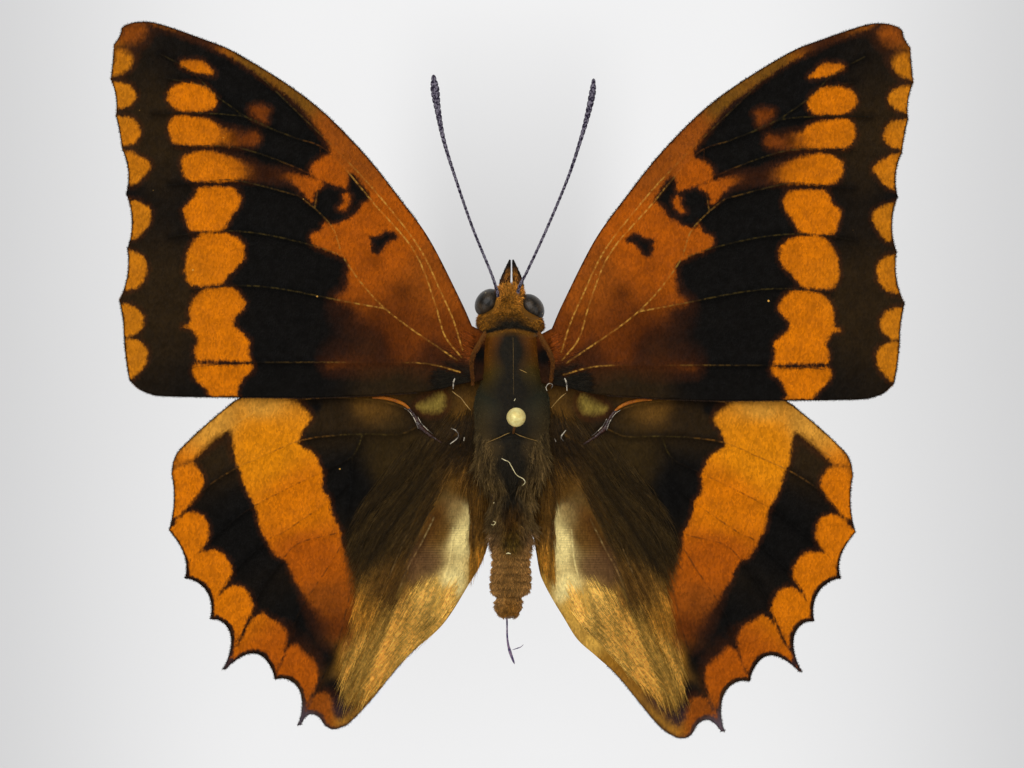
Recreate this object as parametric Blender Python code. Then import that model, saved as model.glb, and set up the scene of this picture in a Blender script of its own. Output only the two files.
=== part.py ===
"""A large brown and orange butterfly, spread and pinned as a museum specimen, life size.

Metres, +Z up. The origin is on the floor, under the middle of the spread wings. The head points
to +Y, and the insect's left side is -X. Sizes below are millimetres, turned to metres by MM.
Wing points are (out, ahead): out from the body's middle line, ahead from the origin.
"""
import math
from dataclasses import dataclass

import bmesh
import bpy
import numpy as np
from mathutils import Vector
from mathutils.bvhtree import BVHTree
from mathutils.geometry import delaunay_2d_cdt

MM = 0.001
GAP = 0.3

# Heights over the floor
BASE_TOP = 8.0
THORAX_AXIS = 25.3
THORAX_TOP = 29.0
FOREWING_LEVEL = 27.0
WING_STEP = 1.2

# Wings
MEMBRANE = 0.5
VEIN_HEIGHT = 0.17
VEIN_WIDTH = 0.85
TIP_RISE = 1.7
ARCH = 0.5
WING_ROOT = 3.0
WING_REACH = 35.0
FOLD_DROP = 2.2
FOLD_WIDTH = 5.0
FOLD_START = 14.0
FOLD_PLACES = (7.5, 12.0, 20.0, 30.0)
FOLD_SHARES = (0.0, 1.0, 0.9, 0.0)
ROOT_GAP = GAP + 0.05
FORE_ROOT = (0.4, 4.0)
HIND_ROOT_FRONT = -2.4
HIND_ROOT_STEP = 0.8
MESH_GRID = 3.4
MESH_ROW = 0.87 * MESH_GRID
GRID_CLEARANCE = 0.32 * MESH_GRID
WELD = 0.05

# Pin and stand. The pin leans forward a little, and its lengths run from where it enters the back
PIN_ENTRY = (0.14, -4.9, THORAX_TOP)
PIN_LEAN = (-8.3, 1.4)
PIN_DEPTH = 27.3
PIN_POINT = 1.6
PIN_ABOVE = 11.1
PIN_RADIUS = 0.25
PIN_HEAD = 0.9
PIN_CLEARANCE = PIN_RADIUS + GAP
PIN_SIDES = 14
THORAX_HOLE = (-12.0, 4.0)
BASE_SIZE = (49.0, 16.0, BASE_TOP)
BASE_MIDDLE = (0.0, -4.3)
BASE_BEVEL = 0.8

# Forewing, from the root along the leading edge to the tip
FORE_COSTA = [
    (3.8, 5.2), (4.9, 7.65), (7.8, 13.35), (10.55, 17.15), (14.35, 21.9), (19.3, 26.65),
    (25.85, 30.9), (29.65, 32.5), (33.45, 33.8), (35.35, 34.0), (36.8, 33.6), (37.1, 32.9),
]
# Vein ends down the outer edge: place, then the depth of the bay that follows
FORE_ENDS = {
    "R4": ((37.75, 31.85), 0.05),
    "R5": ((38.05, 28.55), 0.26),
    "M1": ((37.55, 25.15), 0.06),
    "M2": ((36.95, 21.85), 0.4),
    "M3": ((36.6, 17.7), 0.52),
    "CuA1": ((36.5, 12.5), 0.42),
    "CuA2": ((37.25, 7.65), 0.08),
    "fold": ((36.8, 4.6), -0.1),
    "2A": ((36.25, 0.0), 0.0),
}
FORE_TRAIL = [
    (36.25, 0.0), (35.4, -0.8), (34.35, -1.25), (32.75, -1.5), (25.85, -1.62), (18.25, -1.64),
    (11.2, -1.3), (7.8, -1.0), (5.1, -0.4),
]
FORE_VEINS = {
    "Sc": [(4.7, 2.9), (5.6, 5.8), (6.8, 8.5), (8.8, 12.6), (12.5, 17.4), (15.9, 21.1),
           (20.4, 25.5), (24.2, 29.2)],
    "R5": [(4.8, 2.2), (6.4, 4.3), (7.4, 7.6), (9.3, 12.3), (13.1, 16.8), (17.4, 21.7),
           (20.8, 23.1), (24.5, 24.6), (27.4, 26.5), (29.6, 28.0), (32.5, 28.6)],
    "R4": [(27.8, 26.8), (30.6, 29.4), (33.4, 31.0)],
    "M1": [(22.4, 23.7), (25.4, 25.0), (29.6, 25.35), (34.0, 25.3)],
    "M2": [(18.3, 19.2), (20.5, 20.2), (23.9, 21.5), (27.0, 22.2), (32.1, 22.2)],
    "M3": [(5.2, 1.9), (11.9, 6.7), (15.7, 11.2), (17.1, 14.6), (19.8, 17.2), (21.3, 17.8),
           (26.3, 19.0), (29.3, 18.8), (32.4, 18.5)],
    "CuA1": [(16.0, 11.8), (18.9, 12.8), (23.7, 13.9), (28.2, 14.2), (32.5, 13.6)],
    "CuA2": [(12.0, 6.8), (16.3, 7.6), (22.0, 8.7), (25.9, 9.0), (30.2, 8.6)],
    "2A": [(4.9, 0.8), (8.1, 1.6), (13.1, 1.7), (25.2, 1.7), (30.0, 1.3)],
    "cell_end": [(18.2, 22.0), (18.3, 19.2), (18.7, 16.4)],
}

# Hindwing, from the root along the leading edge, which lies under the forewing, to the shoulder
HIND_COSTA = [
    (4.4, -1.6), (5.4, -1.1), (12.9, -1.1), (16.3, -0.6), (20.1, -0.3), (23.0, -0.6),
    (25.85, -1.65), (27.55, -2.9), (29.65, -4.7), (30.95, -5.95), (31.75, -6.8), (32.2, -7.75),
]
# Vein ends: place, depth of the bay that follows, lean of the bay, and width of the blunt tail
HIND_ENDS = {
    "Sc": ((32.35, -8.9), 0.36, 1.0, 0.0),
    "Rs": ((32.6, -14.2), 0.66, 1.2, 0.0),
    "M1": ((31.1, -18.8), 1.13, 0.95, 0.0),
    "M2": ((28.7, -22.65), 1.55, 0.72, 0.0),
    "M3": ((27.55, -27.45), 2.05, 1.1, 0.35),
    "CuA1": ((22.55, -28.4), 1.64, 0.75, 0.0),
    "CuA2": ((20.4, -32.75), 0.72, 1.1, 0.35),
    "2A": ((18.2, -32.15), 0.0, 1.0, 0.0),
}
BAY_FULLNESS = 0.75
HIND_TRAIL = [
    (18.2, -32.15), (17.75, -32.8), (17.0, -33.15), (16.2, -32.95), (15.4, -32.5), (13.5, -30.5),
    (10.1, -26.45), (7.2, -23.9), (5.8, -22.2), (4.2, -19.6), (3.1, -17.8), (2.5, -16.4),
]
HIND_VEINS = {
    "Sc": [(5.0, -5.0), (6.7, -5.7), (8.6, -4.2), (9.8, -2.8), (12.9, -1.9), (17.0, -1.6),
           (21.5, -2.0), (23.9, -2.7), (27.3, -4.8), (30.2, -7.0)],
    "Rs": [(8.6, -4.2), (10.7, -5.1), (13.6, -5.1), (16.6, -5.2), (20.1, -5.7), (23.7, -7.2),
           (26.7, -8.6), (29.2, -10.3), (31.4, -12.6)],
    "M1": [(14.2, -5.2), (15.2, -7.2), (17.9, -8.6), (22.0, -10.6), (25.4, -12.5), (28.7, -15.2)],
    "M2": [(15.2, -9.6), (17.3, -11.4), (21.7, -14.4), (23.0, -15.0), (26.6, -18.3),
           (27.9, -20.7)],
    "M3": [(4.9, -6.1), (9.6, -9.3), (14.2, -13.0), (16.4, -14.4), (20.1, -15.4), (21.8, -17.0),
           (23.8, -19.9), (25.8, -24.4)],
    "CuA1": [(15.0, -13.6), (17.2, -17.3), (20.1, -21.8), (21.3, -25.1)],
    "CuA2": [(12.4, -11.6), (14.6, -17.0), (16.5, -24.7), (18.6, -29.5)],
    "2A": [(5.2, -7.2), (8.9, -12.5), (11.4, -18.0), (14.2, -25.5), (16.8, -30.6)],
    "cell_end": [(15.2, -7.2), (15.2, -9.6), (15.8, -13.9)],
}

# The right hindwing is spread flatter than the left, so its inner part reaches further
HIND_ENDS_RIGHT = {
    **HIND_ENDS,
    "M1": ((31.2, -18.6), 1.13, 0.95, 0.0),
    "CuA2": ((20.2, -33.15), 0.85, 1.25, 0.35),
    "2A": ((17.45, -32.7), 0.0, 1.0, 0.0),
}
HIND_TRAIL_RIGHT = [
    (17.45, -32.7), (16.95, -33.5), (16.3, -33.8), (15.3, -33.6), (13.7, -32.4), (10.15, -28.1),
    (8.0, -26.1), (6.2, -24.5), (4.9, -22.45), (3.65, -20.4), (2.75, -18.6), (2.45, -17.4),
]

# Body, front to back: ahead, half width, half height, middle's height, middle's place across
HEAD = [
    (8.75, 0.6, 0.7, 24.9, -0.25), (8.4, 1.5, 1.4, 24.9, -0.25), (7.7, 2.05, 1.95, 25.0, -0.25),
    (7.2, 2.1, 2.05, 25.1, -0.25), (6.8, 1.9, 1.9, 25.1, -0.25),
]
PROTHORAX = [
    (6.5, 2.6, 1.9, 25.1, -0.25), (6.15, 3.2, 2.3, 25.1, -0.2), (5.6, 3.3, 2.5, 25.1, -0.15),
    (5.2, 3.25, 2.5, 25.1, -0.1), (4.95, 2.9, 2.4, 25.1, 0.0),
]
THORAX = [
    (4.65, 2.2, 2.6, 25.2, 0.0), (3.9, 2.8, 3.3, 25.25, 0.0), (2.2, 3.0, 3.65, 25.3, 0.0),
    (0.0, 3.1, 3.75, THORAX_AXIS, 0.0), (-2.4, 3.25, 3.75, THORAX_AXIS, 0.0),
    (-5.0, 3.65, 3.7, 25.25, 0.0), (-7.4, 3.8, 3.4, 25.1, 0.0), (-9.2, 3.3, 2.9, 24.9, 0.0),
    (-10.2, 2.4, 2.4, 24.7, 0.0),
]
THORAX_SQUARENESS = 2.25
ABDOMEN_FRONT = -10.5
ABDOMEN_TIP = -22.85
ABDOMEN_SEGMENTS = 8
ABDOMEN_GROOVE = 0.06
ABDOMEN_RADII = [
    (-10.5, 1.8), (-12.0, 2.05), (-15.0, 2.0), (-17.0, 1.9), (-19.7, 1.98), (-20.3, 1.78),
    (-21.0, 1.42), (-22.0, 1.36), (-22.54, 1.0), (-22.85, 0.6),
]
ABDOMEN_HEIGHTS = (24.5, 23.7)
ABDOMEN_LEAN = -0.2

EYE_RADII = (1.2, 1.5, 1.5)
EYE_TURN = 38.0
TEGULA_PLACE = (3.45, 2.3, 28.35)
TEGULA_RADII = (0.5, 2.3, 0.4)
TEGULA_TURN = 13.0

# Limbs: points as (out, ahead, height) and the radius at each
ANTENNA_LEFT = [
    (1.2, 8.0, 25.6), (1.5, 8.8, 26.8), (2.1, 10.5, 27.5), (3.74, 14.5, 28.3), (5.3, 19.0, 28.9),
    (6.45, 22.7, 29.3), (7.05, 25.75, 29.3), (7.3, 27.6, 29.2), (7.45, 29.0, 29.0),
]
ANTENNA_RIGHT = [
    (0.45, 8.0, 25.6), (0.7, 8.9, 26.8), (1.5, 10.5, 27.5), (3.3, 14.4, 28.2), (5.3, 19.2, 28.7),
    (6.5, 22.8, 29.1), (7.2, 25.3, 29.1), (7.63, 27.3, 29.0), (7.75, 28.65, 28.8),
]
ANTENNA_RADII = [0.3, 0.27, 0.25, 0.25, 0.25, 0.27, 0.37, 0.43, 0.24]
PALP = [
    (0.72, 8.3, 24.0), (0.69, 9.3, 24.35), (0.52, 10.0, 24.65), (0.33, 10.7, 24.9),
    (0.19, 11.3, 25.05),
]
PALP_RADII = [0.6, 0.55, 0.4, 0.21, 0.1]
PALP_ASIDE = -0.05
FORELEG = [(1.3, 5.4, 23.3), (1.7, 6.0, 21.9), (1.9, 7.2, 21.2), (1.5, 6.1, 20.5), (1.3, 5.0, 20.2)]
FORELEG_RADII = [0.36, 0.36, 0.3, 0.28, 0.22]
MIDLEG = [
    (1.5, 2.4, 22.6), (1.9, 2.6, 21.0), (3.6, 4.4, 18.9), (3.7, 4.2, 18.4), (3.1, 0.0, 17.4),
    (2.6, -4.0, 16.9), (2.5, -4.9, 16.6),
]
MIDLEG_RADII = [0.5, 0.5, 0.38, 0.34, 0.3, 0.25, 0.22]
HINDLEG = [
    (1.6, -4.6, 22.6), (2.0, -4.8, 21.0), (3.9, -3.4, 18.9), (4.0, -3.8, 18.4), (3.3, -8.4, 17.8),
    (2.9, -12.6, 17.6), (2.8, -13.6, 17.4),
]
TRAILING_LEG = [
    (1.6, -6.0, 22.6), (1.9, -6.6, 20.9), (2.3, -10.6, 19.7), (2.2, -11.2, 19.7),
    (1.2, -16.6, 20.4), (0.6, -22.0, 21.2), (0.25, -25.8, 21.3), (-0.28, -27.0, 21.1),
]
HINDLEG_RADII = [0.5, 0.5, 0.4, 0.36, 0.31, 0.25, 0.22]
TRAILING_RADII = [0.5, 0.5, 0.4, 0.36, 0.3, 0.25, 0.25, 0.22]


@dataclass
class Side:
    """What differs between the two sides: a specimen is never set quite evenly."""
    sign: int
    fore_turn: float
    fore_slide: tuple
    fore_bow: float
    hind_slide: tuple
    hind_ends: dict
    hind_trail: list
    eye: tuple
    antenna: list
    hindleg: list
    hindleg_radii: list


SIDES = {
    "left": Side(
        sign=-1, fore_turn=0.0, fore_slide=(0.0, 0.0), fore_bow=0.0, hind_slide=(0.0, 0.0),
        hind_ends=HIND_ENDS, hind_trail=HIND_TRAIL, eye=(-2.34, 7.2, 24.9),
        antenna=ANTENNA_LEFT, hindleg=TRAILING_LEG, hindleg_radii=TRAILING_RADII),
    "right": Side(
        sign=1, fore_turn=-0.1, fore_slide=(-0.03, -0.25), fore_bow=0.25, hind_slide=(0.05, -0.2),
        hind_ends=HIND_ENDS_RIGHT, hind_trail=HIND_TRAIL_RIGHT, eye=(1.83, 6.92, 24.9),
        antenna=ANTENNA_RIGHT, hindleg=HINDLEG, hindleg_radii=HINDLEG_RADII),
}

FINISHES = {
    "wing": ((0.16, 0.075, 0.02), 0.62, 0.0),
    "hair": ((0.22, 0.13, 0.05), 0.8, 0.0),
    "eye": ((0.07, 0.065, 0.06), 0.25, 0.0),
    "horn": ((0.06, 0.045, 0.045), 0.5, 0.0),
    "pin": ((0.8, 0.72, 0.5), 0.3, 1.0),
    "base": ((0.82, 0.8, 0.75), 0.6, 0.0),
}


def clear_scene():
    for old in list(bpy.data.objects):
        bpy.data.objects.remove(old, do_unlink=True)


def finish(name):
    """The material of that name, made the first time it is asked for."""
    found = bpy.data.materials.get(name)
    if found:
        return found
    colour, roughness, metallic = FINISHES[name]
    made = bpy.data.materials.new(name)
    made.use_nodes = True
    shader = made.node_tree.nodes["Principled BSDF"]
    shader.inputs["Base Color"].default_value = (*colour, 1.0)
    shader.inputs["Roughness"].default_value = roughness
    shader.inputs["Metallic"].default_value = metallic
    return made


def add_part(name, points, faces, finish_name, parent=None):
    """A named object from points in millimetres, with its faces turned outwards."""
    shape = bmesh.new()
    verts = [shape.verts.new([c * MM for c in point]) for point in points]
    for face in faces:
        shape.faces.new([verts[i] for i in face])
    bmesh.ops.recalc_face_normals(shape, faces=shape.faces)
    mesh = bpy.data.meshes.new(name)
    shape.to_mesh(mesh)
    shape.free()
    mesh.materials.append(finish(finish_name))
    mesh.shade_smooth()
    mesh.set_sharp_from_angle(angle=math.radians(35))
    part = bpy.data.objects.new(name, mesh)
    part.parent = parent
    bpy.context.scene.collection.objects.link(part)
    return part


def smooth_path(points, steps):
    """A Catmull-Rom curve through the points, with that many steps between two of them."""
    given = [np.array(point, float) for point in points]
    padded = [2 * given[0] - given[1], *given, 2 * given[-1] - given[-2]]
    path = []
    for before, start, end, after in zip(padded, padded[1:], padded[2:], padded[3:]):
        for step in range(steps):
            t = step / steps
            path.append(0.5 * (2 * start + (end - before) * t
                               + (2 * before - 5 * start + 4 * end - after) * t ** 2
                               + (3 * start - before - 3 * end + after) * t ** 3))
    path.append(given[-1])
    return path


def bay(start, end, depth, lean, steps):
    """The curve between two vein ends, cut into the wing by depth. A lean under 1 cuts early."""
    start, end = np.array(start), np.array(end)
    along = end - start
    inward = np.array((along[1], -along[0])) / np.linalg.norm(along)
    curve = []
    for step in range(steps):
        t = step / steps
        cut = depth * math.sin(math.pi * t ** lean) ** BAY_FULLNESS if step else 0.0
        curve.append(start + along * t + inward * cut)
    return curve


def closed_rings(rings):
    """Faces that join equal rings of points, one after another, with a flat cap at each end."""
    count = len(rings[0])
    faces = []
    for row in range(len(rings) - 1):
        for i in range(count):
            j = (i + 1) % count
            faces.append((row * count + i, row * count + j, (row + 1) * count + j,
                          (row + 1) * count + i))
    last = (len(rings) - 1) * count
    faces.append(tuple(range(count)))
    faces.append(tuple(last + i for i in range(count)))
    return [point for ring in rings for point in ring], faces


def oval(ahead, half_width, half_height, middle, aside, sides, squareness=2.0):
    """A ring across the body, a little square where squareness is over 2."""
    ring = []
    for i in range(sides):
        angle = 2 * math.pi * i / sides
        across, up = math.cos(angle), math.sin(angle)
        power = 2.0 / squareness
        ring.append((aside + half_width * math.copysign(abs(across) ** power, across), ahead,
                     middle + half_height * math.copysign(abs(up) ** power, up)))
    return ring


def body_length(name, stations, sides, steps, squareness=2.0, parent=None):
    """A length of the body between two thin cuts, lofted through its stations."""
    rings = [oval(*station, sides, squareness) for station in smooth_path(stations, steps)]
    return add_part(name, *closed_rings(rings), "hair", parent)


def abdomen_stations():
    """Rings that narrow a little at the front of each segment."""
    places = [place for place, _ in ABDOMEN_RADII][::-1]
    radii = [radius for _, radius in ABDOMEN_RADII][::-1]
    stations = []
    length = ABDOMEN_FRONT - ABDOMEN_TIP
    for segment in range(ABDOMEN_SEGMENTS):
        for part, groove in ((0.0, 1.0), (0.25, 0.2), (0.8, 0.0)):
            run = (segment + part) / ABDOMEN_SEGMENTS
            ahead = ABDOMEN_FRONT - run * length
            radius = float(np.interp(ahead, places, radii)) * (1 - ABDOMEN_GROOVE * groove)
            middle = ABDOMEN_HEIGHTS[0] + run * (ABDOMEN_HEIGHTS[1] - ABDOMEN_HEIGHTS[0])
            stations.append((ahead, radius, radius * 1.05, middle, ABDOMEN_LEAN * run))
    tip = ABDOMEN_RADII[-1]
    stations.append((tip[0], tip[1], tip[1], ABDOMEN_HEIGHTS[1], ABDOMEN_LEAN))
    return stations


def body_half_width(ahead):
    """Half the body's width at that place, for the roots and inner edges of the wings."""
    stations = (smooth_path(THORAX, 3) + abdomen_stations())[::-1]
    return float(np.interp(ahead, [s[0] for s in stations], [s[1] for s in stations]))


def root_edge(start, end, level, steps):
    """The wing's edge beside the body, between two places along it, a gap away at that level."""
    narrowing = math.sqrt(max(0.0, 1 - ((level - THORAX_AXIS) / THORAX[3][2]) ** 2))
    return [np.array((body_half_width(ahead) * narrowing + ROOT_GAP, ahead))
            for ahead in np.linspace(start, end, steps)]


def fore_outline(side):
    """The forewing's edge, clockwise as (out, ahead), from the root along the leading edge."""
    edge = smooth_path(FORE_COSTA, 2)[:-1]
    for i, place in enumerate(edge):
        place[1] += side.fore_bow * math.sin(math.pi * i / len(edge))
    edge += bay(FORE_COSTA[-1], FORE_ENDS["R4"][0], 0.05, 1.0, 2)
    ends = list(FORE_ENDS.values())
    for (place, depth), (following, _) in zip(ends, ends[1:]):
        edge += bay(place, following, depth, 1.0, 5)
    edge += smooth_path(FORE_TRAIL, 2)
    edge += root_edge(*FORE_ROOT, FOREWING_LEVEL, 5)
    return edge


def hind_outline(side):
    """The hindwing's edge in the same order, with its scallops and two short tails."""
    edge = smooth_path(HIND_COSTA, 2)[:-1]
    edge += bay(HIND_COSTA[-1], side.hind_ends["Sc"][0], 0.0, 1.0, 2)
    ends = list(side.hind_ends.values())
    for (place, depth, lean, tail), (following, *_) in zip(ends, ends[1:]):
        if tail:
            edge.append(np.array(place))
        edge += bay((place[0] - tail, place[1]), following, depth, lean, 9)
    edge += smooth_path(side.hind_trail, 2)
    edge += root_edge(side.hind_trail[-1][1] + HIND_ROOT_STEP, HIND_ROOT_FRONT, THORAX_AXIS, 9)
    return edge


def hind_fold(side):
    """A measure of how far the hindwing bends down beside the abdomen, where it would cradle it."""
    inner = [point for point in side.hind_trail if point[0] < FOLD_START][::-1]

    def drop(out, ahead):
        edge = np.interp(-ahead, [-a for _, a in inner], [o for o, _ in inner])
        near = np.clip(1 - (out - edge) / FOLD_WIDTH, 0, 1)
        return FOLD_DROP * near ** 2 * np.interp(-ahead, FOLD_PLACES, FOLD_SHARES)

    return drop


def flat_fold(out, ahead):
    return 0.0


def distance_to(point, path):
    """Distance to a line of points, and how far along it the nearest place is, 0 to 1."""
    starts, ends = path[:-1], path[1:]
    runs = ends - starts
    share = np.clip(((point - starts) * runs).sum(1) / (runs ** 2).sum(1), 0, 1)
    gaps = np.linalg.norm(starts + runs * share[:, None] - point, axis=1)
    nearest = int(gaps.argmin())
    return float(gaps[nearest]), (nearest + float(share[nearest])) / len(starts)


def vein_taper(along):
    """Share of a vein's full width and height, which falls towards the wing's edge."""
    return min(1.0, 1.25 - along)


def vein_lines(veins, ends):
    """Each vein as a smooth line, out to its place on the wing's edge where it has one."""
    lines = []
    for name, points in veins.items():
        whole = points + ([ends[name][0]] if name in ends else [])
        lines.append(np.array(smooth_path(whole, 2)))
    return lines


def sheet_layout(outline, lines):
    """Points and edges of the wing's flat plan: its outline, the veins' ridges, and a loose grid."""
    points = [tuple(point) for point in outline]
    edges = [(i, (i + 1) % len(points)) for i in range(len(points))]
    border = np.array([*outline, outline[0]])
    for line in lines:
        tangents = np.gradient(line, axis=0)
        tangents /= np.linalg.norm(tangents, axis=1)[:, None]
        across = np.stack((-tangents[:, 1], tangents[:, 0]), axis=1)
        for side in (-1, 0, 1):
            row = []
            for i, place in enumerate(line):
                inside = 0 < i < len(line) - 1
                width = VEIN_WIDTH / 2 * vein_taper(i / (len(line) - 1)) if inside else 0.0
                row.append(tuple(place + across[i] * side * width))
            first = len(points)
            points += row
            edges += [(first + i, first + i + 1) for i in range(len(row) - 1)]
    low, high = border.min(0), border.max(0)
    for row, ahead in enumerate(np.arange(low[1], high[1], MESH_ROW)):
        for out in np.arange(low[0] + (row % 2) * MESH_GRID / 2, high[0], MESH_GRID):
            place = np.array((out, ahead))
            clear = min(distance_to(place, line)[0] for line in [border, *lines])
            if clear > GRID_CLEARANCE:
                points.append((out, ahead))
    return points, edges


def wing(name, side, outline, veins, ends, level, fold, turn, slide, parent):
    """One wing: a sheet with raised veins, split into the same triangles on both faces."""
    lines = vein_lines(veins, ends)
    points, edges = sheet_layout(outline, lines)
    border = list(range(len(outline)))[::-1]
    plan, _, triangles, *_ = delaunay_2d_cdt(
        [Vector(point) for point in points], edges, [border], 1, WELD)
    used = sorted({i for triangle in triangles for i in triangle})
    number = {old: new for new, old in enumerate(used)}
    triangles = [[number[i] for i in triangle] for triangle in triangles]
    angle = math.radians(turn)
    top, bottom = [], []
    for old in used:
        out, ahead = plan[old]
        ridge = 0.0
        for line in lines:
            gap, along = distance_to(np.array((out, ahead)), line)
            taper = vein_taper(along)
            ridge = max(ridge, VEIN_HEIGHT * taper * (1 - 2 * gap / (VEIN_WIDTH * taper)))
        turned_out = (out - WING_ROOT) * math.cos(angle) - ahead * math.sin(angle)
        turned_ahead = (out - WING_ROOT) * math.sin(angle) + ahead * math.cos(angle)
        x, y = turned_out + WING_ROOT + slide[0], turned_ahead + slide[1]
        share = min(1.0, max(0.0, (x - WING_ROOT) / WING_REACH))
        middle = level + TIP_RISE * share + ARCH * math.sin(math.pi * share)
        middle -= float(fold(out, ahead))
        top.append((side * x, y, middle + MEMBRANE / 2 + ridge))
        bottom.append((side * x, y, middle - MEMBRANE / 2 - ridge))
    count = len(top)
    faces = [tuple(triangle) for triangle in triangles]
    faces += [tuple(count + i for i in reversed(triangle)) for triangle in triangles]
    sides = {(a, b) for t in triangles for a, b in zip(t, t[1:] + t[:1])}
    for a, b in sorted(sides):
        if (b, a) not in sides:
            faces += [(a, count + a, count + b), (a, count + b, b)]
    return add_part(name, top + bottom, faces, "wing", parent)


def surface_of(part):
    """A search tree of the part's surface, in millimetres."""
    shape = bmesh.new()
    shape.from_mesh(part.data)
    for vert in shape.verts:
        vert.co = vert.co / MM
    tree = BVHTree.FromBMesh(shape)
    shape.free()
    return tree


def limb(name, carrier, points, radii, sides, steps, finish_name, parent):
    """A tapering limb along a smooth path, whose root face follows its carrier a gap away."""
    path = [Vector(point) for point in smooth_path(points, steps)]
    widths = [float(width[0]) for width in smooth_path([(radius,) for radius in radii], steps)]
    tree = surface_of(carrier)
    rings = []
    for i, place in enumerate(path):
        before, after = path[max(i - 1, 0)], path[min(i + 1, len(path) - 1)]
        along = (after - before).normalized()
        aside = along.cross(Vector((0.31, 0.17, 0.93))).normalized()
        lift = along.cross(aside)
        ring = []
        for side in range(sides):
            angle = 2 * math.pi * side / sides
            spoke = aside * math.cos(angle) + lift * math.sin(angle)
            ring.append(place + spoke * widths[i])
        rings.append(ring)
    heading = (path[1] - path[0]).normalized()
    inside = [i for i, place in enumerate(path) if tree.find_nearest(place)[3] < widths[i] + GAP
              or tree.ray_cast(place, heading)[0] is not None]
    keep = max(i for i in inside if i < len(path) // 2) + 1
    root = []
    for corner in rings[keep]:
        hit = tree.ray_cast(corner, -heading)[0]
        root.append((hit if hit else corner - heading * GAP) + heading * GAP)
    rings = [root, *rings[keep:]]
    return add_part(name, *closed_rings(rings), finish_name, parent)


def ball(name, place, radii, turn, segments, rows, finish_name, parent):
    """An egg-shaped part, turned about the vertical."""
    points = [(0.0, 0.0, radii[2])]
    for row in range(1, rows):
        down = math.pi * row / rows
        for i in range(segments):
            angle = 2 * math.pi * i / segments
            points.append((radii[0] * math.sin(down) * math.cos(angle),
                           radii[1] * math.sin(down) * math.sin(angle),
                           radii[2] * math.cos(down)))
    points.append((0.0, 0.0, -radii[2]))
    faces = []
    for i in range(segments):
        j = (i + 1) % segments
        faces.append((0, 1 + i, 1 + j))
        for row in range(rows - 2):
            first = 1 + row * segments
            faces.append((first + i, first + segments + i, first + segments + j, first + j))
        last = 1 + (rows - 2) * segments
        faces.append((last + i, len(points) - 1, last + j))
    part = add_part(name, points, faces, finish_name, parent)
    part.location = [c * MM for c in place]
    part.rotation_euler = (0.0, 0.0, math.radians(turn))
    return part


def cut(part, cutter):
    """Takes the cutter's shape out of the part when the modifiers are evaluated."""
    cutter.hide_render = True
    cutter.display_type = "WIRE"
    cutting = part.modifiers.new("cut", "BOOLEAN")
    cutting.operation = "DIFFERENCE"
    cutting.solver = "EXACT"
    cutting.object = cutter


def about_pin(name, profile, sides, finish_name, parent):
    """A round part about the pin's leaning axis, from (radius, place along it) pairs."""
    rings = []
    for radius, along in profile:
        rings.append([(radius * math.cos(2 * math.pi * i / sides),
                       radius * math.sin(2 * math.pi * i / sides), along)
                      for i in range(sides)])
    part = add_part(name, *closed_rings(rings), finish_name, parent)
    part.location = [c * MM for c in PIN_ENTRY]
    part.rotation_euler = [math.radians(turn) for turn in PIN_LEAN] + [0.0]
    return part


def pin(parent):
    """A steel pin with a round head, its point let into the stand."""
    profile = [(0.06, -PIN_DEPTH), (PIN_RADIUS, PIN_POINT - PIN_DEPTH)]
    for step in range(9):
        angle = math.radians(-74 + step * 20)
        profile.append((PIN_HEAD * math.cos(angle), PIN_ABOVE - PIN_HEAD * (1 - math.sin(angle))))
    return about_pin("pin", profile, PIN_SIDES, "pin", parent)


def pin_hole(name, start, end, parent):
    """A cutter for the pin's way through a piece, a gap wider than the pin."""
    profile = [(PIN_CLEARANCE, start), (PIN_CLEARANCE, end)]
    return about_pin(name, profile, PIN_SIDES, "pin", parent)


def stand(parent):
    """A plain block that holds the pin."""
    width, depth, height = BASE_SIZE
    corners = [(x, y, z) for x in (-width / 2, width / 2) for y in (-depth / 2, depth / 2)
               for z in (0.0, height)]
    faces = [(0, 1, 3, 2), (4, 6, 7, 5), (0, 4, 5, 1), (2, 3, 7, 6), (0, 2, 6, 4), (1, 5, 7, 3)]
    block = add_part("stand_base", corners, faces, "base", parent)
    block.location = (BASE_MIDDLE[0] * MM, BASE_MIDDLE[1] * MM, 0.0)
    rounding = block.modifiers.new("rounding", "BEVEL")
    rounding.width = BASE_BEVEL * MM
    rounding.segments = 3
    cut(block, pin_hole("stand_hole", -PIN_DEPTH - GAP, BASE_TOP - THORAX_TOP + 2, parent))
    return block


def mirrored(points, sign, aside=0.0):
    return [(sign * point[0] + aside, *point[1:]) for point in points]


def face_details(label, side, head, prothorax, parent):
    """One side's eye in its socket, feeler and palp."""
    ball(f"eye_{label}", side.eye, EYE_RADII, EYE_TURN * side.sign, 16, 12, "eye", parent)
    for carrier in (head, prothorax):
        socket = ball(f"{carrier.name}_socket_{label}", side.eye, [r + GAP for r in EYE_RADII],
                      EYE_TURN * side.sign, 20, 14, "eye", parent)
        cut(carrier, socket)
    limb(f"antenna_{label}", head, mirrored(side.antenna, side.sign), ANTENNA_RADII, 7, 3, "horn",
         parent)
    limb(f"palp_{label}", head, mirrored(PALP, side.sign, PALP_ASIDE), PALP_RADII, 9, 3, "hair",
         parent)


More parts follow.
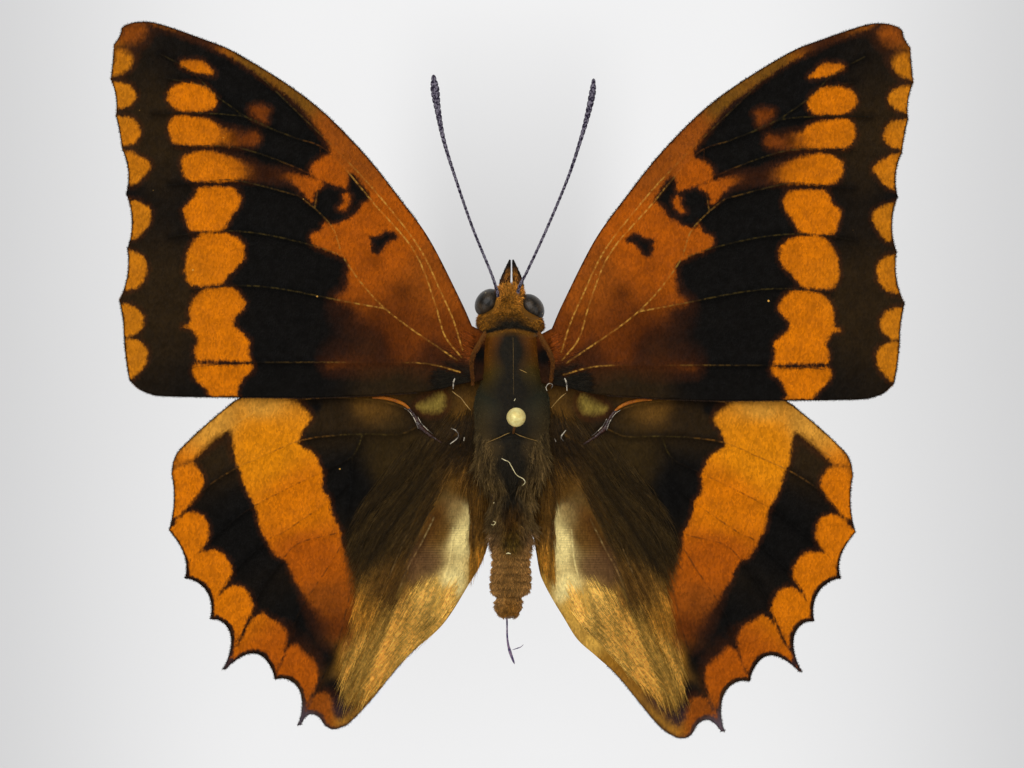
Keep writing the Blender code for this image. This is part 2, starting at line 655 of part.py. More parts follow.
def side_limbs(label, side, prothorax, thorax, parent):
    """One side's three legs and the scale over the forewing's root."""
    limb(f"foreleg_{label}", prothorax, mirrored(FORELEG, side.sign), FORELEG_RADII, 7, 3, "hair",
         parent)
    limb(f"midleg_{label}", thorax, mirrored(MIDLEG, side.sign), MIDLEG_RADII, 7, 3, "hair",
         parent)
    limb(f"hindleg_{label}", thorax, mirrored(side.hindleg, side.sign), side.hindleg_radii, 7, 3,
         "hair", parent)
    tegula = (side.sign * TEGULA_PLACE[0], *TEGULA_PLACE[1:])
    ball(f"tegula_{label}", tegula, TEGULA_RADII, TEGULA_TURN * side.sign, 10, 8, "hair", parent)


def side_wings(label, side, parent):
    """One side's forewing, and its hindwing a step lower."""
    wing(f"forewing_{label}", side.sign, fore_outline(side), FORE_VEINS, FORE_ENDS,
         FOREWING_LEVEL, flat_fold, side.fore_turn, side.fore_slide, parent)
    wing(f"hindwing_{label}", side.sign, hind_outline(side), HIND_VEINS, side.hind_ends,
         FOREWING_LEVEL - WING_STEP, hind_fold(side), 0.0, side.hind_slide, parent)


def build():
    clear_scene()
    specimen = bpy.data.objects.new("specimen", None)
    bpy.context.scene.collection.objects.link(specimen)

    head = body_length("head", HEAD, 22, 2, parent=specimen)
    prothorax = body_length("prothorax", PROTHORAX, 22, 2, parent=specimen)
    thorax = body_length("thorax", THORAX, 26, 2, THORAX_SQUARENESS, specimen)
    rings = [oval(*station, 20) for station in abdomen_stations()]
    add_part("abdomen", *closed_rings(rings), "hair", specimen)

    for label, side in SIDES.items():
        side_limbs(label, side, prothorax, thorax, specimen)
        face_details(label, side, head, prothorax, specimen)
        side_wings(label, side, specimen)

    cut(thorax, pin_hole("thorax_hole", *THORAX_HOLE, specimen))
    pin(specimen)
    stand(specimen)


build()
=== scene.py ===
"""A large brown and orange butterfly, spread and pinned as a museum specimen, seen from above.

Sizes are millimetres, turned to metres by MM when a mesh is made. Wing places are (out, ahead):
out from the body's middle line, ahead from the model's origin. Markings are outlined in the
photograph's pixels, which spot() turns to wing places.
"""

import logging
import math
from collections.abc import Callable
from dataclasses import dataclass
from enum import Enum
from functools import partial

import bpy
import numpy as np
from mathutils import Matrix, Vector
from mathutils.geometry import delaunay_2d_cdt


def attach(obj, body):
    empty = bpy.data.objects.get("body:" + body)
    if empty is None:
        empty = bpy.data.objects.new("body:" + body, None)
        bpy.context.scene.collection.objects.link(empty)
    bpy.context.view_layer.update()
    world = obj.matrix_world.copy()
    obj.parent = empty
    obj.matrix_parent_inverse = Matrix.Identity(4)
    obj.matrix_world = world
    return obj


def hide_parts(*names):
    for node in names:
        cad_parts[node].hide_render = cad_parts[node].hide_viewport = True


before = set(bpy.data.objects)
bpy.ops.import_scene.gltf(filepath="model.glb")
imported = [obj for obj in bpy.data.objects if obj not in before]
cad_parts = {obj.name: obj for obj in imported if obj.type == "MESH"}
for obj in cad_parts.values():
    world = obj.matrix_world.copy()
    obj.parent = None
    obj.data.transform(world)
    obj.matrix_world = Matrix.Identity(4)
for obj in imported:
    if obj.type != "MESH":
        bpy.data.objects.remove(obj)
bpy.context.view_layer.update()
log = logging.getLogger("specimen")

Array = np.ndarray
Piece = bpy.types.Object
Material = bpy.types.Material
Tree = bpy.types.NodeTree
Node = bpy.types.Node
Socket = bpy.types.NodeSocket
Shape = Callable[[Array, Array], Array]

MM = 0.001
# Millimetres to a pixel, and the pixel over the model's origin
PIXEL = 0.095
MIDDLE_COLUMN = 512.0
ORIGIN_ROW = 380.5
# A wing's root and length, its rise to the tip and its arch
ROOT = 3.0
REACH = 35.0
RISE = 1.7
ARCH = 0.5
SCALE_SIZE = 0.16
# How deep a marking's tone is kept, and a distance past every vein's reach
DEEPEST = 3.0
PAST_VEINS = 9.0
# Where a pattern says nothing: the fading at a marking's edge, and the wing's dark edge line
SOFTNESS = 0.2
EDGE_LINE = 0.08
# How far from the outline a pattern still follows it, and every how many points it is read
PULL_REACH = 5.0
PULL_STEP = 4
# Points of one tuft of hair, and the size of its patch on the unwrap
TUFT = 10
PATCH = 0.0015
# Where a limb's hair is rooted, as a share of its radius
HAIR_DEPTH = 0.9
# Height of the body's middle line, and where a wing's free edge starts
BODY_LEVEL = 24.8
FREE_EDGE = 9.0


class Side(Enum):
    """The insect's own sides, as the sign of X."""
    LEFT = -1
    RIGHT = 1


class Mark(Enum):
    """Whether a marking turns the wing orange or black."""
    ORANGE = 1
    BLACK = -1


def linear(code: str) -> tuple[float, float, float, float]:
    """A linear colour from an sRGB hex code.

    Args:
        code: six hex digits.

    Returns:
        Red, green, blue and full alpha.
    """
    parts = [int(code[i:i + 2], 16) / 255 for i in (0, 2, 4)]
    return (*[p / 12.92 if p <= 0.04045 else ((p + 0.055) / 1.055) ** 2.4 for p in parts], 1.0)


def spot(x: float, y: float) -> tuple[float, float]:
    """The wing place of a pixel on the insect's left side.

    Args:
        x: the photograph's column.
        y: the photograph's row.

    Returns:
        (out, ahead) in millimetres.
    """
    return (MIDDLE_COLUMN - x) * PIXEL, (ORIGIN_ROW - y) * PIXEL


def listed(table: str) -> list[tuple[float, ...]]:
    """Places from a row of them, the numbers of each joined by commas."""
    return [tuple(map(float, place.split(","))) for place in table.split()]


def smooth_path(points: list, steps: int, closed: bool = False) -> Array:
    """A smooth curve through the points.

    Args:
        points: places of two or three numbers.
        steps: steps between two points.
        closed: whether the last point leads back to the first.

    Returns:
        An array of places.
    """
    given = np.array(points, float)
    if closed:
        padded = np.vstack([given[-1:], given, given[:2]])
    else:
        padded = np.vstack([2 * given[:1] - given[1:2], given, 2 * given[-1:] - given[-2:-1]])
    t = (np.arange(steps) / steps)[None, :, None]
    before, start, end, after = (padded[i:len(padded) - 3 + i, None] for i in range(4))
    path = 0.5 * (2 * start + (end - before) * t + (2 * before - 5 * start + 4 * end - after)
                  * t ** 2 + (3 * start - before - 3 * end + after) * t ** 3)
    path = path.reshape(-1, given.shape[1])
    return path if closed else np.vstack([path, given[-1:]])


def sampled(line: Array, run: Array, at: Array) -> Array:
    """Places on a line at given distances along it.

    Args:
        line: (M, K) points of the line.
        run: (M,) how far along each lies.
        at: (N,) the distances asked for.

    Returns:
        (N, K) places.
    """
    return np.stack([np.interp(at, run, column) for column in line.T], axis=1)


def length_run(line: Array) -> Array:
    """How far along a line each of its points lies, starting at 0."""
    return np.concatenate([[0], np.cumsum(np.linalg.norm(np.diff(line, axis=0), axis=1))])


def distances(places: Array, line: Array) -> tuple[Array, Array]:
    """How far places lie from a line of points.

    Args:
        places: (N, 2) places.
        line: (M, 2) points of the line.

    Returns:
        The distances, and how far along the line the nearest point is, from 0 to 1.
    """
    best = np.full(len(places), 1e9)
    along = np.zeros(len(places))
    for i, (start, end) in enumerate(zip(line[:-1], line[1:])):
        run = end - start
        share = np.clip((places - start) @ run / max(run @ run, 1e-12), 0, 1)
        gap = np.hypot(*(start + share[:, None] * run - places).T)
        nearer = gap < best
        best[nearer] = gap[nearer]
        along[nearer] = (i + share[nearer]) / (len(line) - 1)
    return best, along


def inside_depth(places: Array, outline: Array) -> Array:
    """Signed distance to a closed outline, over zero inside it.

    Args:
        places: (N, 2) places.
        outline: (M, 2) points of the outline.

    Returns:
        Depths in millimetres.
    """
    ring = np.vstack([outline, outline[:1]])
    gap, _ = distances(places, ring)
    crossings = np.zeros(len(places), int)
    for (x0, y0), (x1, y1) in zip(ring[:-1], ring[1:]):
        if y0 == y1:
            continue
        between = (places[:, 1] >= min(y0, y1)) & (places[:, 1] < max(y0, y1))
        crossings += between & (places[:, 0] < x0 + (places[:, 1] - y0) * (x1 - x0) / (y1 - y0))
    return np.where(crossings % 2 == 1, gap, -gap)


# The pigments of the specimen, one for each kind of scale or hair
PIGMENTS = {
    # Wing scales
    "soot": "0b0907", "umber": "261a0a", "orange": "c46902", "bright": "ce7a06", "amber": "b56b0c",
    "apricot": "cb8c30", "copper": "a04c04", "russet": "86420a", "rust": "683006",
    "maroon": "3c1c08", "slate": "2c2428", "lilac": "544a52", "buff": "c48e38", "moss": "4e4018",
    # Hair and scales of the hindwing's inner half
    "olive": "2e210b", "bronze": "5c3e14", "tan": "86663a", "ochre": "9a6a20", "gold": "d2a144",
    "straw": "f0d88c",
    # Hair of the body
    "gilt": "8c5c1e", "chestnut": "643808", "bark": "3a2406", "sable": "16120a", "loam": "40300c",
    "drab_sheen": "26261a", "dun": "46361c", "fawn": "62482a", "sand": "7c5a2e", "honey": "68420e",
    "khaki": "85702e", "cinnamon": "6c4c22", "wheat": "b48c3c", "corn": "c4a04e",
}


@dataclass(frozen=True)
class Zone:
    """A colour that holds round one place and gives way to others further off."""
    colour: str
    x: float
    y: float
    reach: float = 3.0
    strength: float = 1.0


def zones(table: str) -> list[Zone]:
    """Zones from a table.

    Args:
        table: a pigment, column, row and, where not the usual, reach and strength, with commas.

    Returns:
        The zones.
    """
    rows = [row.split() for row in table.split(",")]
    return [Zone(PIGMENTS[name], *map(float, numbers)) for name, *numbers in rows]


def blend(given: list[Zone], places: Array) -> Array:
    """The zones' colours blended over the wing.

    Args:
        given: colours and where they hold.
        places: (N, 2) wing places.

    Returns:
        (N, 4) linear colours.
    """
    total = np.full((len(places), 1), 1e-9)
    mixed = np.zeros((len(places), 4))
    for zone in given:
        gap = np.hypot(*(places - spot(zone.x, zone.y)).T)
        weight = 1 / (1e-3 + (gap / zone.reach) ** 4)[:, None]
        mixed += weight * (*linear(zone.colour)[:3], zone.strength)
        total += weight
    return mixed / total


def deselect() -> None:
    """Leaves nothing selected, as the frame's nodes are after loading."""
    bpy.ops.object.select_all(action="DESELECT")


def wrapped_grid(name: str, around: int, along: int, shape: Shape) -> Piece:
    """A grid primitive wrapped into a closed round form.

    Args:
        name: the piece's name.
        around: faces round the form.
        along: faces along it.
        shape: turns two arrays from 0 to 1, round and along, into (N, 3) places in millimetres.

    Returns:
        The object, smooth, with its seam and poles welded.
    """
    deselect()
    bpy.ops.mesh.primitive_grid_add(x_subdivisions=around, y_subdivisions=along, size=1.0)
    piece = bpy.context.object
    piece.name = name
    flat = np.empty(len(piece.data.vertices) * 3)
    piece.data.vertices.foreach_get("co", flat)
    flat = flat.reshape(-1, 3) + 0.5
    placed = shape(flat[:, 0], flat[:, 1]) * MM
    piece.data.vertices.foreach_set("co", placed.ravel())
    bpy.ops.object.mode_set(mode="EDIT")
    bpy.ops.mesh.select_all(action="SELECT")
    bpy.ops.mesh.remove_doubles(threshold=2e-6)
    bpy.ops.mesh.normals_make_consistent(inside=False)
    bpy.ops.object.mode_set(mode="OBJECT")
    bpy.ops.object.shade_smooth()
    return piece


def sheet_object(name: str, points: Array, faces: list) -> Piece:
    """A smooth mesh object from arrays, for sheets and coats no primitive can give.

    Args:
        name: the piece's name.
        points: (N, 3) places in millimetres.
        faces: rows of point numbers.

    Returns:
        The object.
    """
    mesh = bpy.data.meshes.new(name)
    mesh.from_pydata((points * MM).tolist(), [], faces)
    mesh.shade_smooth()
    piece = bpy.data.objects.new(name, mesh)
    bpy.context.scene.collection.objects.link(piece)
    return piece


def paint(piece: Piece, name: str, values: Array) -> None:
    """Stores a number or a colour at each of the piece's points.

    Args:
        piece: the object.
        name: the attribute's name.
        values: (N,) numbers or (N, 4) colours.
    """
    kind, field = ("FLOAT_COLOR", "color") if values.ndim == 2 else ("FLOAT", "value")
    store = piece.data.attributes.new(name, kind, "POINT")
    store.data.foreach_set(field, values.astype(np.float32).ravel())


def dress(piece: Piece, material: Material, slot: str, *nodes: str) -> None:
    """Finishes a piece, lets it ride on the model, and hides the solids it replaces.

    Args:
        piece: the object.
        material: its material.
        slot: not used.
        nodes: names of the solids it replaces.
    """
    piece.data.materials.clear()
    piece.data.materials.append(material)
    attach(piece, "root")
    if nodes:
        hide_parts(*nodes)
    log.info("%s: %d faces", piece.name, len(piece.data.polygons))


Fed = Node | Socket | float | tuple | None
SMOOTH = {"interpolation_type": "SMOOTHSTEP"}
TIMES = {"operation": "MULTIPLY"}
SHADED = {"blend_type": "MULTIPLY"}


def feed(tree: Tree, node: Node, values: dict[str | int, Fed]) -> None:
    """Sets or joins a node's inputs.

    Args:
        tree: the material's nodes.
        node: the node.
        values: by input a constant, a socket, a node for its first output, or None to leave it.
    """
    for key, value in values.items():
        if isinstance(value, Node):
            value = value.outputs[0]
        if isinstance(value, Socket):
            tree.links.new(value, node.inputs[key])
        elif value is not None:
            node.inputs[key].default_value = value


def add(tree: Tree, kind: str, *inputs: Fed, **settings: str) -> Node:
    """Adds one shader node.

    Args:
        tree: the material's nodes.
        kind: the node's type after ShaderNode.
        inputs: what its inputs hold, in their order.
        settings: the node's own properties.

    Returns:
        The node.
    """
    node = tree.nodes.new("ShaderNode" + kind)
    for key, value in settings.items():
        setattr(node, key, value)
    feed(tree, node, dict(enumerate(inputs)))
    return node


def pitch(size: float) -> float:
    """A texture node's scale for a pattern of that size in millimetres."""
    return 1 / (size * MM)


def new_material(name: str) -> tuple[Material, Callable[..., Node], Socket]:
    """A new material with its Principled shader.

    Args:
        name: the material's name.

    Returns:
        The material, add() for its own tree, and the piece's own coordinates.
    """
    material = bpy.data.materials.new(name)
    material.use_nodes = True
    put = partial(add, material.node_tree)
    return material, put, put("TexCoord").outputs["Object"]


def finished(material: Material, values: dict[str, Fed]) -> Material:
    """Sets or joins the inputs of the material's Principled shader.

    Args:
        material: the material.
        values: as for feed().

    Returns:
        The material.
    """
    feed(material.node_tree, material.node_tree.nodes["Principled BSDF"], values)
    return material


@dataclass(frozen=True)
class WingScales:
    """Chitin membrane shingled with pigment scales: matt and a little velvety, with a fine grain,
    and here and there a painted glint: a gold point where a scale that lies askew would catch the light."""
    name: str
    rim: str = "4a2208"
    rim_share: float = 0.35
    gold: str = "d9a24a"
    rib: float = 0.23
    roughness: float = 0.6
    wander: float = 0.45
    fray: float = 0.13

    def material(self) -> Material:
        """The wing's material, which reads the wing's painted fields.

        Returns:
            The material.
        """
        made, put, place = new_material(self.name)
        painted = {name: put("Attribute", attribute_name=name) for name in
                   ("tone", "soft", "vein", "vein_tint_and_glint", "dark", "light", "ribs", "painted_glints")}
        value = {name: node.outputs["Fac"] for name, node in painted.items()}
        # Edges of the markings fray by a scale or two: a coarse and a fine wander in millimetres
        coarse = put("TexNoise", place, None, pitch(0.45))
        shingled = put("Mapping", place, None, None, (1.0, 0.6, 1.0))
        cells = put("TexVoronoi", shingled, None, pitch(SCALE_SIZE))
        tone = put("Math", coarse, self.wander, value["tone"], operation="MULTIPLY_ADD")
        tone = put("Math", cells.outputs["Color"], self.fray, tone, operation="MULTIPLY_ADD")
        tone = put("Math", tone, (self.wander + self.fray) / 2, operation="SUBTRACT")
        tone = put("Math", tone, value["soft"], operation="DIVIDE")
        # The dark ground is blackest along the veins
        beside = put("MapRange", value["vein"], 0.1, 0.8, 0.6, 1.0, **SMOOTH)
        dark = put("MixRGB", 1.0, painted["dark"], beside, **SHADED)
        rim = put("MapRange", tone, -3.0, 0.0, 0.0, self.rim_share, **SMOOTH)
        dark = put("MixRGB", rim, dark, linear(self.rim))
        lit = put("MapRange", tone, -0.8, 1.2, **SMOOTH)
        colour = put("MixRGB", lit, dark, painted["light"])
        # Mottling over a few millimetres, then the grain of single scales
        mottle = put("TexNoise", place, None, pitch(1.6), 3.0)
        shade = put("MapRange", mottle, 0.3, 0.7, 0.88, 1.1, **SMOOTH)
        grain = put("MapRange", cells.outputs["Color"], 0.0, 1.0, 0.8, 1.2, **SMOOTH)
        # Fine ribs that cross the bare membrane beside the body
        ahead = put("SeparateXYZ", place).outputs["Y"]
        turn = put("Math", ahead, 2 * math.pi * pitch(self.rib), **TIMES)
        ribs = put("Math", put("Math", turn, operation="SINE"), value["ribs"], **TIMES)
        shade = put("Math", ribs, 0.3, shade, operation="MULTIPLY_ADD")
        shade = put("Math", shade, grain, **TIMES)
        colour = put("MixRGB", 1.0, colour, shade, **SHADED)
        # Veins: their own colour where they are dark and painted glints where they are gold, broken into
        # dashes
        strength = put("MapRange", value["vein"], 0.03, 0.12, 1.0, 0.0, **SMOOTH)
        for size, detail, low, high, least in ((0.7, 3.0, 0.4, 0.6, 0.3), (0.35, 1.0, 0.38, 0.62, 0.35)):
            gaps = put("TexNoise", place, None, pitch(size), detail)
            gaps = put("MapRange", gaps, low, high, least, 1.0, **SMOOTH)
            strength = put("Math", strength, gaps, **TIMES)
        strength = put("Math", strength, painted["vein_tint_and_glint"].outputs["Alpha"], **TIMES)
        colour = put("MixRGB", strength, colour, painted["vein_tint_and_glint"])
        # Painted glints: gold points put into the colour where askew scales would catch the light
        glint_cells = put("TexVoronoi", place, None, pitch(0.42))
        rare = put("Math", 1.0, value["painted_glints"], operation="SUBTRACT")
        chosen = put("Math", glint_cells.outputs["Color"], rare, operation="GREATER_THAN")
        point = put("MapRange", glint_cells, 0.12, 0.32, 1.0, 0.0, **SMOOTH)
        colour = put("MixRGB", put("Math", chosen, point, **TIMES), colour, linear(self.gold))
        worn = put("TexNoise", place, None, pitch(0.6))
        rough = put("MapRange", worn, 0.3, 0.7, self.roughness - 0.1, self.roughness + 0.12,
                    **SMOOTH)
        swell = put("TexNoise", place, None, pitch(0.9))
        height = put("Math", swell, 1.5, cells, operation="MULTIPLY_ADD")
        return finished(made, {"Base Color": colour, "Roughness": rough, "Specular IOR Level": 0.04,
                               "Normal": put("Bump", 1.0, 0.035 * MM, None, height)})


@dataclass(frozen=True)
class Hair:
    """Dry insect hair in fine tufts: soft, a little silky along its length, each tuft its own
    shade of the colour it is painted with."""
    name: str
    spread: float = 0.25
    gain: float = 1.7
    roughness: float = 0.55

    def material(self) -> Material:
        """The coat's material, which reads the tufts' painted colours.

        Returns:
            The material.
        """
        made, put, place = new_material(self.name)
        # Hair shades itself, so single hairs are brighter than the coat they make up
        wave = put("TexNoise", place, None, pitch(0.3))
        shade = put("MapRange", wave, 0.3, 0.7, self.gain * (1 - self.spread),
                    self.gain * (1 + self.spread), **SMOOTH)
        tint = put("Attribute", attribute_name="tint")
        strands = put("TexNoise", place, None, pitch(0.12))
        return finished(made, {"Base Color": put("MixRGB", 1.0, tint, shade, **SHADED),
                               "Roughness": self.roughness, "Specular IOR Level": 0.15,
                               "Normal": put("Bump", 1.0, 0.02 * MM, None, strands)})


@dataclass(frozen=True)
class Cuticle:
    """Hard insect cuticle, smooth and half glossy, with fine wrinkles and a powder of scales."""
    name: str
    base: str
    powder: str
    wrinkle: float = 0.2
    share: float = 0.45
    roughness: float = 0.42
    gloss: float = 0.1
    glint_tint: str = "b8a468"
    glint_share: float = 0.0
    painted: bool = False

    def material(self) -> Material:
        """The cuticle's material.

        Returns:
            The material.
        """
        made, put, place = new_material(self.name)
        ground = put("Attribute", attribute_name="tint") if self.painted else linear(self.base)
        cells = put("TexVoronoi", place, None, pitch(self.wrinkle * 0.5))
        cloud = put("TexNoise", place, None, pitch(self.wrinkle * 2), 3.0)
        patch = put("MapRange", cloud, 0.42, 0.6, 0.0, self.share, **SMOOTH)
        colour = put("MixRGB", patch, ground, linear(self.powder))
        pores = put("MapRange", cells, 0.0, 0.7, 0.8, 1.15, **SMOOTH)
        colour = put("MixRGB", 1.0, colour, pores, **SHADED)
        # Painted glints: pale points where single loose scales would catch the light
        glint_spots = put("TexVoronoi", place, None, pitch(0.3))
        chosen = put("Math", glint_spots.outputs["Color"], self.glint_share, operation="LESS_THAN")
        point = put("MapRange", glint_spots, 0.1, 0.22, 1.0, 0.0, **SMOOTH)
        colour = put("MixRGB", put("Math", chosen, point, **TIMES), colour, linear(self.glint_tint))
        rough = put("MapRange", put("TexNoise", place, None, pitch(self.wrinkle)), 0.3, 0.7,
                    self.roughness - 0.08, self.roughness + 0.2, **SMOOTH)
        folds = put("TexNoise", place, None, pitch(self.wrinkle), 3.0)
        height = put("Math", folds, cells, operation="ADD")
        return finished(made, {"Base Color": colour, "Roughness": rough,
                               "Specular IOR Level": self.gloss,
                               "Normal": put("Bump", 1.0, 0.03 * MM, None, height)})


@dataclass(frozen=True)
class CompoundEye:
    """A dried compound eye: dull grey-brown lens facets under a clear, glossy surface."""
    facet: float = 0.09
    dark: str = "1a1712"
    pale: str = "4a3e30"
    gap: str = "0e0b08"
    highlight_specks: str = "c8b88c"

    def material(self) -> Material:
        """The eye's material, with facets drawn a little coarser than real so that they show.

        Returns:
            The material.
        """
        made, put, place = new_material("compound_eye")
        cells = put("TexVoronoi", place, None, pitch(self.facet))
        cloud = put("TexNoise", place, None, pitch(0.9), 3.0)
        cloud = put("MapRange", cloud, 0.35, 0.65, **SMOOTH)
        colour = put("MixRGB", cloud, linear(self.dark), linear(self.pale))
        pit = put("MapRange", cells, 0.25, 0.75, 0.0, 0.6, **SMOOTH)
        colour = put("MixRGB", pit, colour, linear(self.gap))
        # Painted highlights: pale specks on the lenses where their glints would show
        highlight_specks = put("TexVoronoi", place, None, pitch(0.32))
        few = put("Math", highlight_specks.outputs["Color"], 0.1, operation="LESS_THAN")
        point = put("MapRange", highlight_specks, 0.12, 0.26, 1.0, 0.0, **SMOOTH)
        colour = put("MixRGB", put("Math", few, point, **TIMES), colour, linear(self.highlight_specks))
        height = put("Math", cells, -1.0, **TIMES)
        return finished(made, {"Base Color": colour, "Roughness": 0.35, "Specular IOR Level": 0.2,
                               "Coat Weight": 0.15, "Coat Roughness": 0.1,
                               "Normal": put("Bump", 1.0, 0.012 * MM, None, height)})


@dataclass(frozen=True)
class BrassedSteel:
    """Spring steel wire with a brass-coloured lacquer: a yellow metal, dulled by age. Below the head the
    shaft is painted a darker brass-brown as shade; only the head, over about 36.5 mm, is pale."""
    bright: str = "efdf92"
    dull: str = "dcc678"
    shaft: str = "7a4c1c"
    shade_edge: tuple = (35.8, 37.2)

    def material(self) -> Material:
        """The pin's material.

        Returns:
            The material.
        """
        made, put, place = new_material("brassed_steel")
        worn = put("MapRange", put("TexNoise", place, None, pitch(0.5), 4.0), 0.4, 0.65,
                   **SMOOTH)
        colour = put("MixRGB", worn, linear(self.bright), linear(self.dull))
        # Painted shade: the shaft below the head takes the darker brass-brown
        low, high = self.shade_edge
        head = put("MapRange", put("SeparateXYZ", place).outputs["Z"], low * MM, high * MM,
                   **SMOOTH)
        rough = put("MapRange", worn, 0.0, 1.0, 0.38, 0.55, **SMOOTH)
        drawn = put("TexNoise", place, None, pitch(0.15))
        return finished(made, {"Base Color": put("MixRGB", head, linear(self.shaft), colour),
                               "Metallic": 0.35, "Roughness": rough,
                               "Normal": put("Bump", 1.0, 0.004 * MM, None, drawn)})


@dataclass(frozen=True)
class PaintedWood:
    """A lime-wood block with a chalky white paint: matt, with the grain just telling through."""
    grain: float = 1.4
    paint: str = "e6e2d8"
    worn: str = "cfc8b8"
    grimy: str = "b9b09c"

    def material(self) -> Material:
        """The stand's material.

        Returns:
            The material.
        """
        made, put, place = new_material("painted_wood")
        drawn = put("Mapping", place, None, None, (0.08, 1.0, 1.0))
        lines = put("TexNoise", drawn, None, pitch(self.grain), 4.0)
        rubbed = put("MapRange", lines, 0.35, 0.7, 0.0, 0.6, **SMOOTH)
        colour = put("MixRGB", rubbed, linear(self.paint), linear(self.worn))
        cloud = put("TexNoise", place, None, pitch(9.0), 3.0)
        handled = put("MapRange", cloud, 0.45, 0.7, 0.0, 0.3, **SMOOTH)
        return finished(made, {"Base Color": put("MixRGB", handled, colour, linear(self.grimy)),
                               "Roughness": put("MapRange", lines, 0.3, 0.7, 0.55, 0.75, **SMOOTH),
                               "Normal": put("Bump", 1.0, 0.06 * MM, None, lines)})


@dataclass(frozen=True)
class Card:
    """A matt white light table under the specimen, with a very slight tooth. Its glow is painted light:
    brightest along its middle, with a painted falloff towards the sides and painted shade ahead of the
    insect's head."""
    colour: str = "58585a"
    fleck: str = "4c4c4e"
    glow: str = "f5f5f5"
    middle_glow: float = 0.87
    side_glow: float = 0.58
    painted_shade_depth: float = 0.32

    def material(self) -> Material:
        """The floor's material.

        Returns:
            The material.
        """
        made, put, place = new_material("white_card")
        tooth = put("MapRange", put("TexNoise", place, None, pitch(0.6)), 0.3, 0.7, 0.0, 0.05,
                    **SMOOTH)
        split = put("SeparateXYZ", place)
        out, ahead = put("Math", split, operation="ABSOLUTE"), split.outputs["Y"]
        # Painted light: the glow falls off towards the sides, and a pocket of painted shade dims it
        # ahead of the head
        glow = put("MapRange", out, 20 * MM, 62 * MM, self.middle_glow, self.side_glow, **SMOOTH)
        painted_shade = put("MapRange", out, 5 * MM, 15 * MM, 1.0, 0.0, **SMOOTH)
        shade_ahead = put("MapRange", ahead, 38 * MM, 6 * MM, 0.0, self.painted_shade_depth)
        # The painted shade ends behind the head, where the wings close the gap and the table is at its
        # brightest again
        behind = put("MapRange", ahead, -10 * MM, 0.0, **SMOOTH)
        for share in (shade_ahead, behind):
            painted_shade = put("Math", painted_shade, share, **TIMES)
        glow = put("Math", glow, put("Math", 1.0, painted_shade, operation="SUBTRACT"), **TIMES)
        return finished(made, {
            "Base Color": put("MixRGB", tooth, linear(self.colour), linear(self.fleck)),
            "Roughness": 0.9, "Specular IOR Level": 0.1, "Emission Strength": glow,
            "Emission Color": linear(self.glow)})


FORE_COSTA = listed("""
    3.8,5.2 4.9,7.65 7.8,13.35 10.55,17.15 14.35,21.9 19.3,26.65 25.85,30.9 29.65,32.5 33.45,33.8
    35.35,34.0 36.8,33.6 37.1,32.9""")
# Vein ends down the outer edge: place, then the depth, lean and tail width of the bay that follows
FORE_ENDS = {
    "tip": ((37.1, 32.9), 0.05, 1.0, 0.0),
    "R4": ((37.75, 31.85), 0.05, 1.0, 0.0),
    "R5": ((38.05, 28.55), 0.26, 1.0, 0.0),
    "M1": ((37.55, 25.15), 0.06, 1.0, 0.0),
    "M2": ((36.95, 21.85), 0.4, 1.0, 0.0),
    "M3": ((36.6, 17.7), 0.52, 1.0, 0.0),
    "CuA1": ((36.5, 12.5), 0.42, 1.0, 0.0),
    "CuA2": ((37.25, 7.65), 0.08, 1.0, 0.0),
    "fold": ((36.8, 4.6), -0.1, 1.0, 0.0),
    "2A": ((36.25, 0.0), 0.0, 1.0, 0.0),
}
FORE_TRAIL = listed("""
    36.25,0.0 35.4,-0.8 34.35,-1.25 32.75,-1.5 25.85,-1.62 18.25,-1.64 11.2,-1.3 7.8,-1.0 5.1,-0.4
    3.2,-0.1""")
FORE_ROOT = [(2.3, 0.2), (2.2, 2.5), (2.3, 4.4)]
FORE_VEINS = {
    "Sc": listed("4.7,2.9 5.6,5.8 6.8,8.5 8.8,12.6 12.5,17.4 15.9,21.1 20.4,25.5 24.2,29.2"),
    "R5": listed("""
        4.8,2.2 6.4,4.3 7.4,7.6 9.3,12.3 13.1,16.8 17.4,21.7 20.8,23.1 24.5,24.6 27.4,26.5 29.6,28.0
        32.5,28.6"""),
    "R4": [(27.8, 26.8), (30.6, 29.4), (33.4, 31.0)],
    "M1": listed("22.4,23.7 25.4,25.0 29.6,25.35 34.0,25.3"),
    "M2": listed("18.3,19.2 20.5,20.2 23.9,21.5 27.0,22.2 32.1,22.2"),
    "M3": listed("""
        5.2,1.9 11.9,6.7 15.7,11.2 17.1,14.6 19.8,17.2 21.3,17.8 26.3,19.0 29.3,18.8 32.4,18.5"""),
    "CuA1": listed("16.0,11.8 18.9,12.8 23.7,13.9 28.2,14.2 32.5,13.6"),
    "CuA2": listed("12.0,6.8 16.3,7.6 22.0,8.7 25.9,9.0 30.2,8.6"),
    "2A": listed("4.9,0.8 8.1,1.6 13.1,1.7 25.2,1.7 30.0,1.3"),
    "cell_end": [(18.2, 22.0), (18.3, 19.2), (18.7, 16.4)],
}
HIND_COSTA = listed("""
    2.7,0.9 4.4,0.7 6.5,-0.3 12.9,-1.1 16.3,-0.6 20.1,-0.3 23.0,-0.6 25.85,-1.65 27.55,-2.9
    29.65,-4.7 30.95,-5.95 31.75,-6.8 32.2,-7.75""")
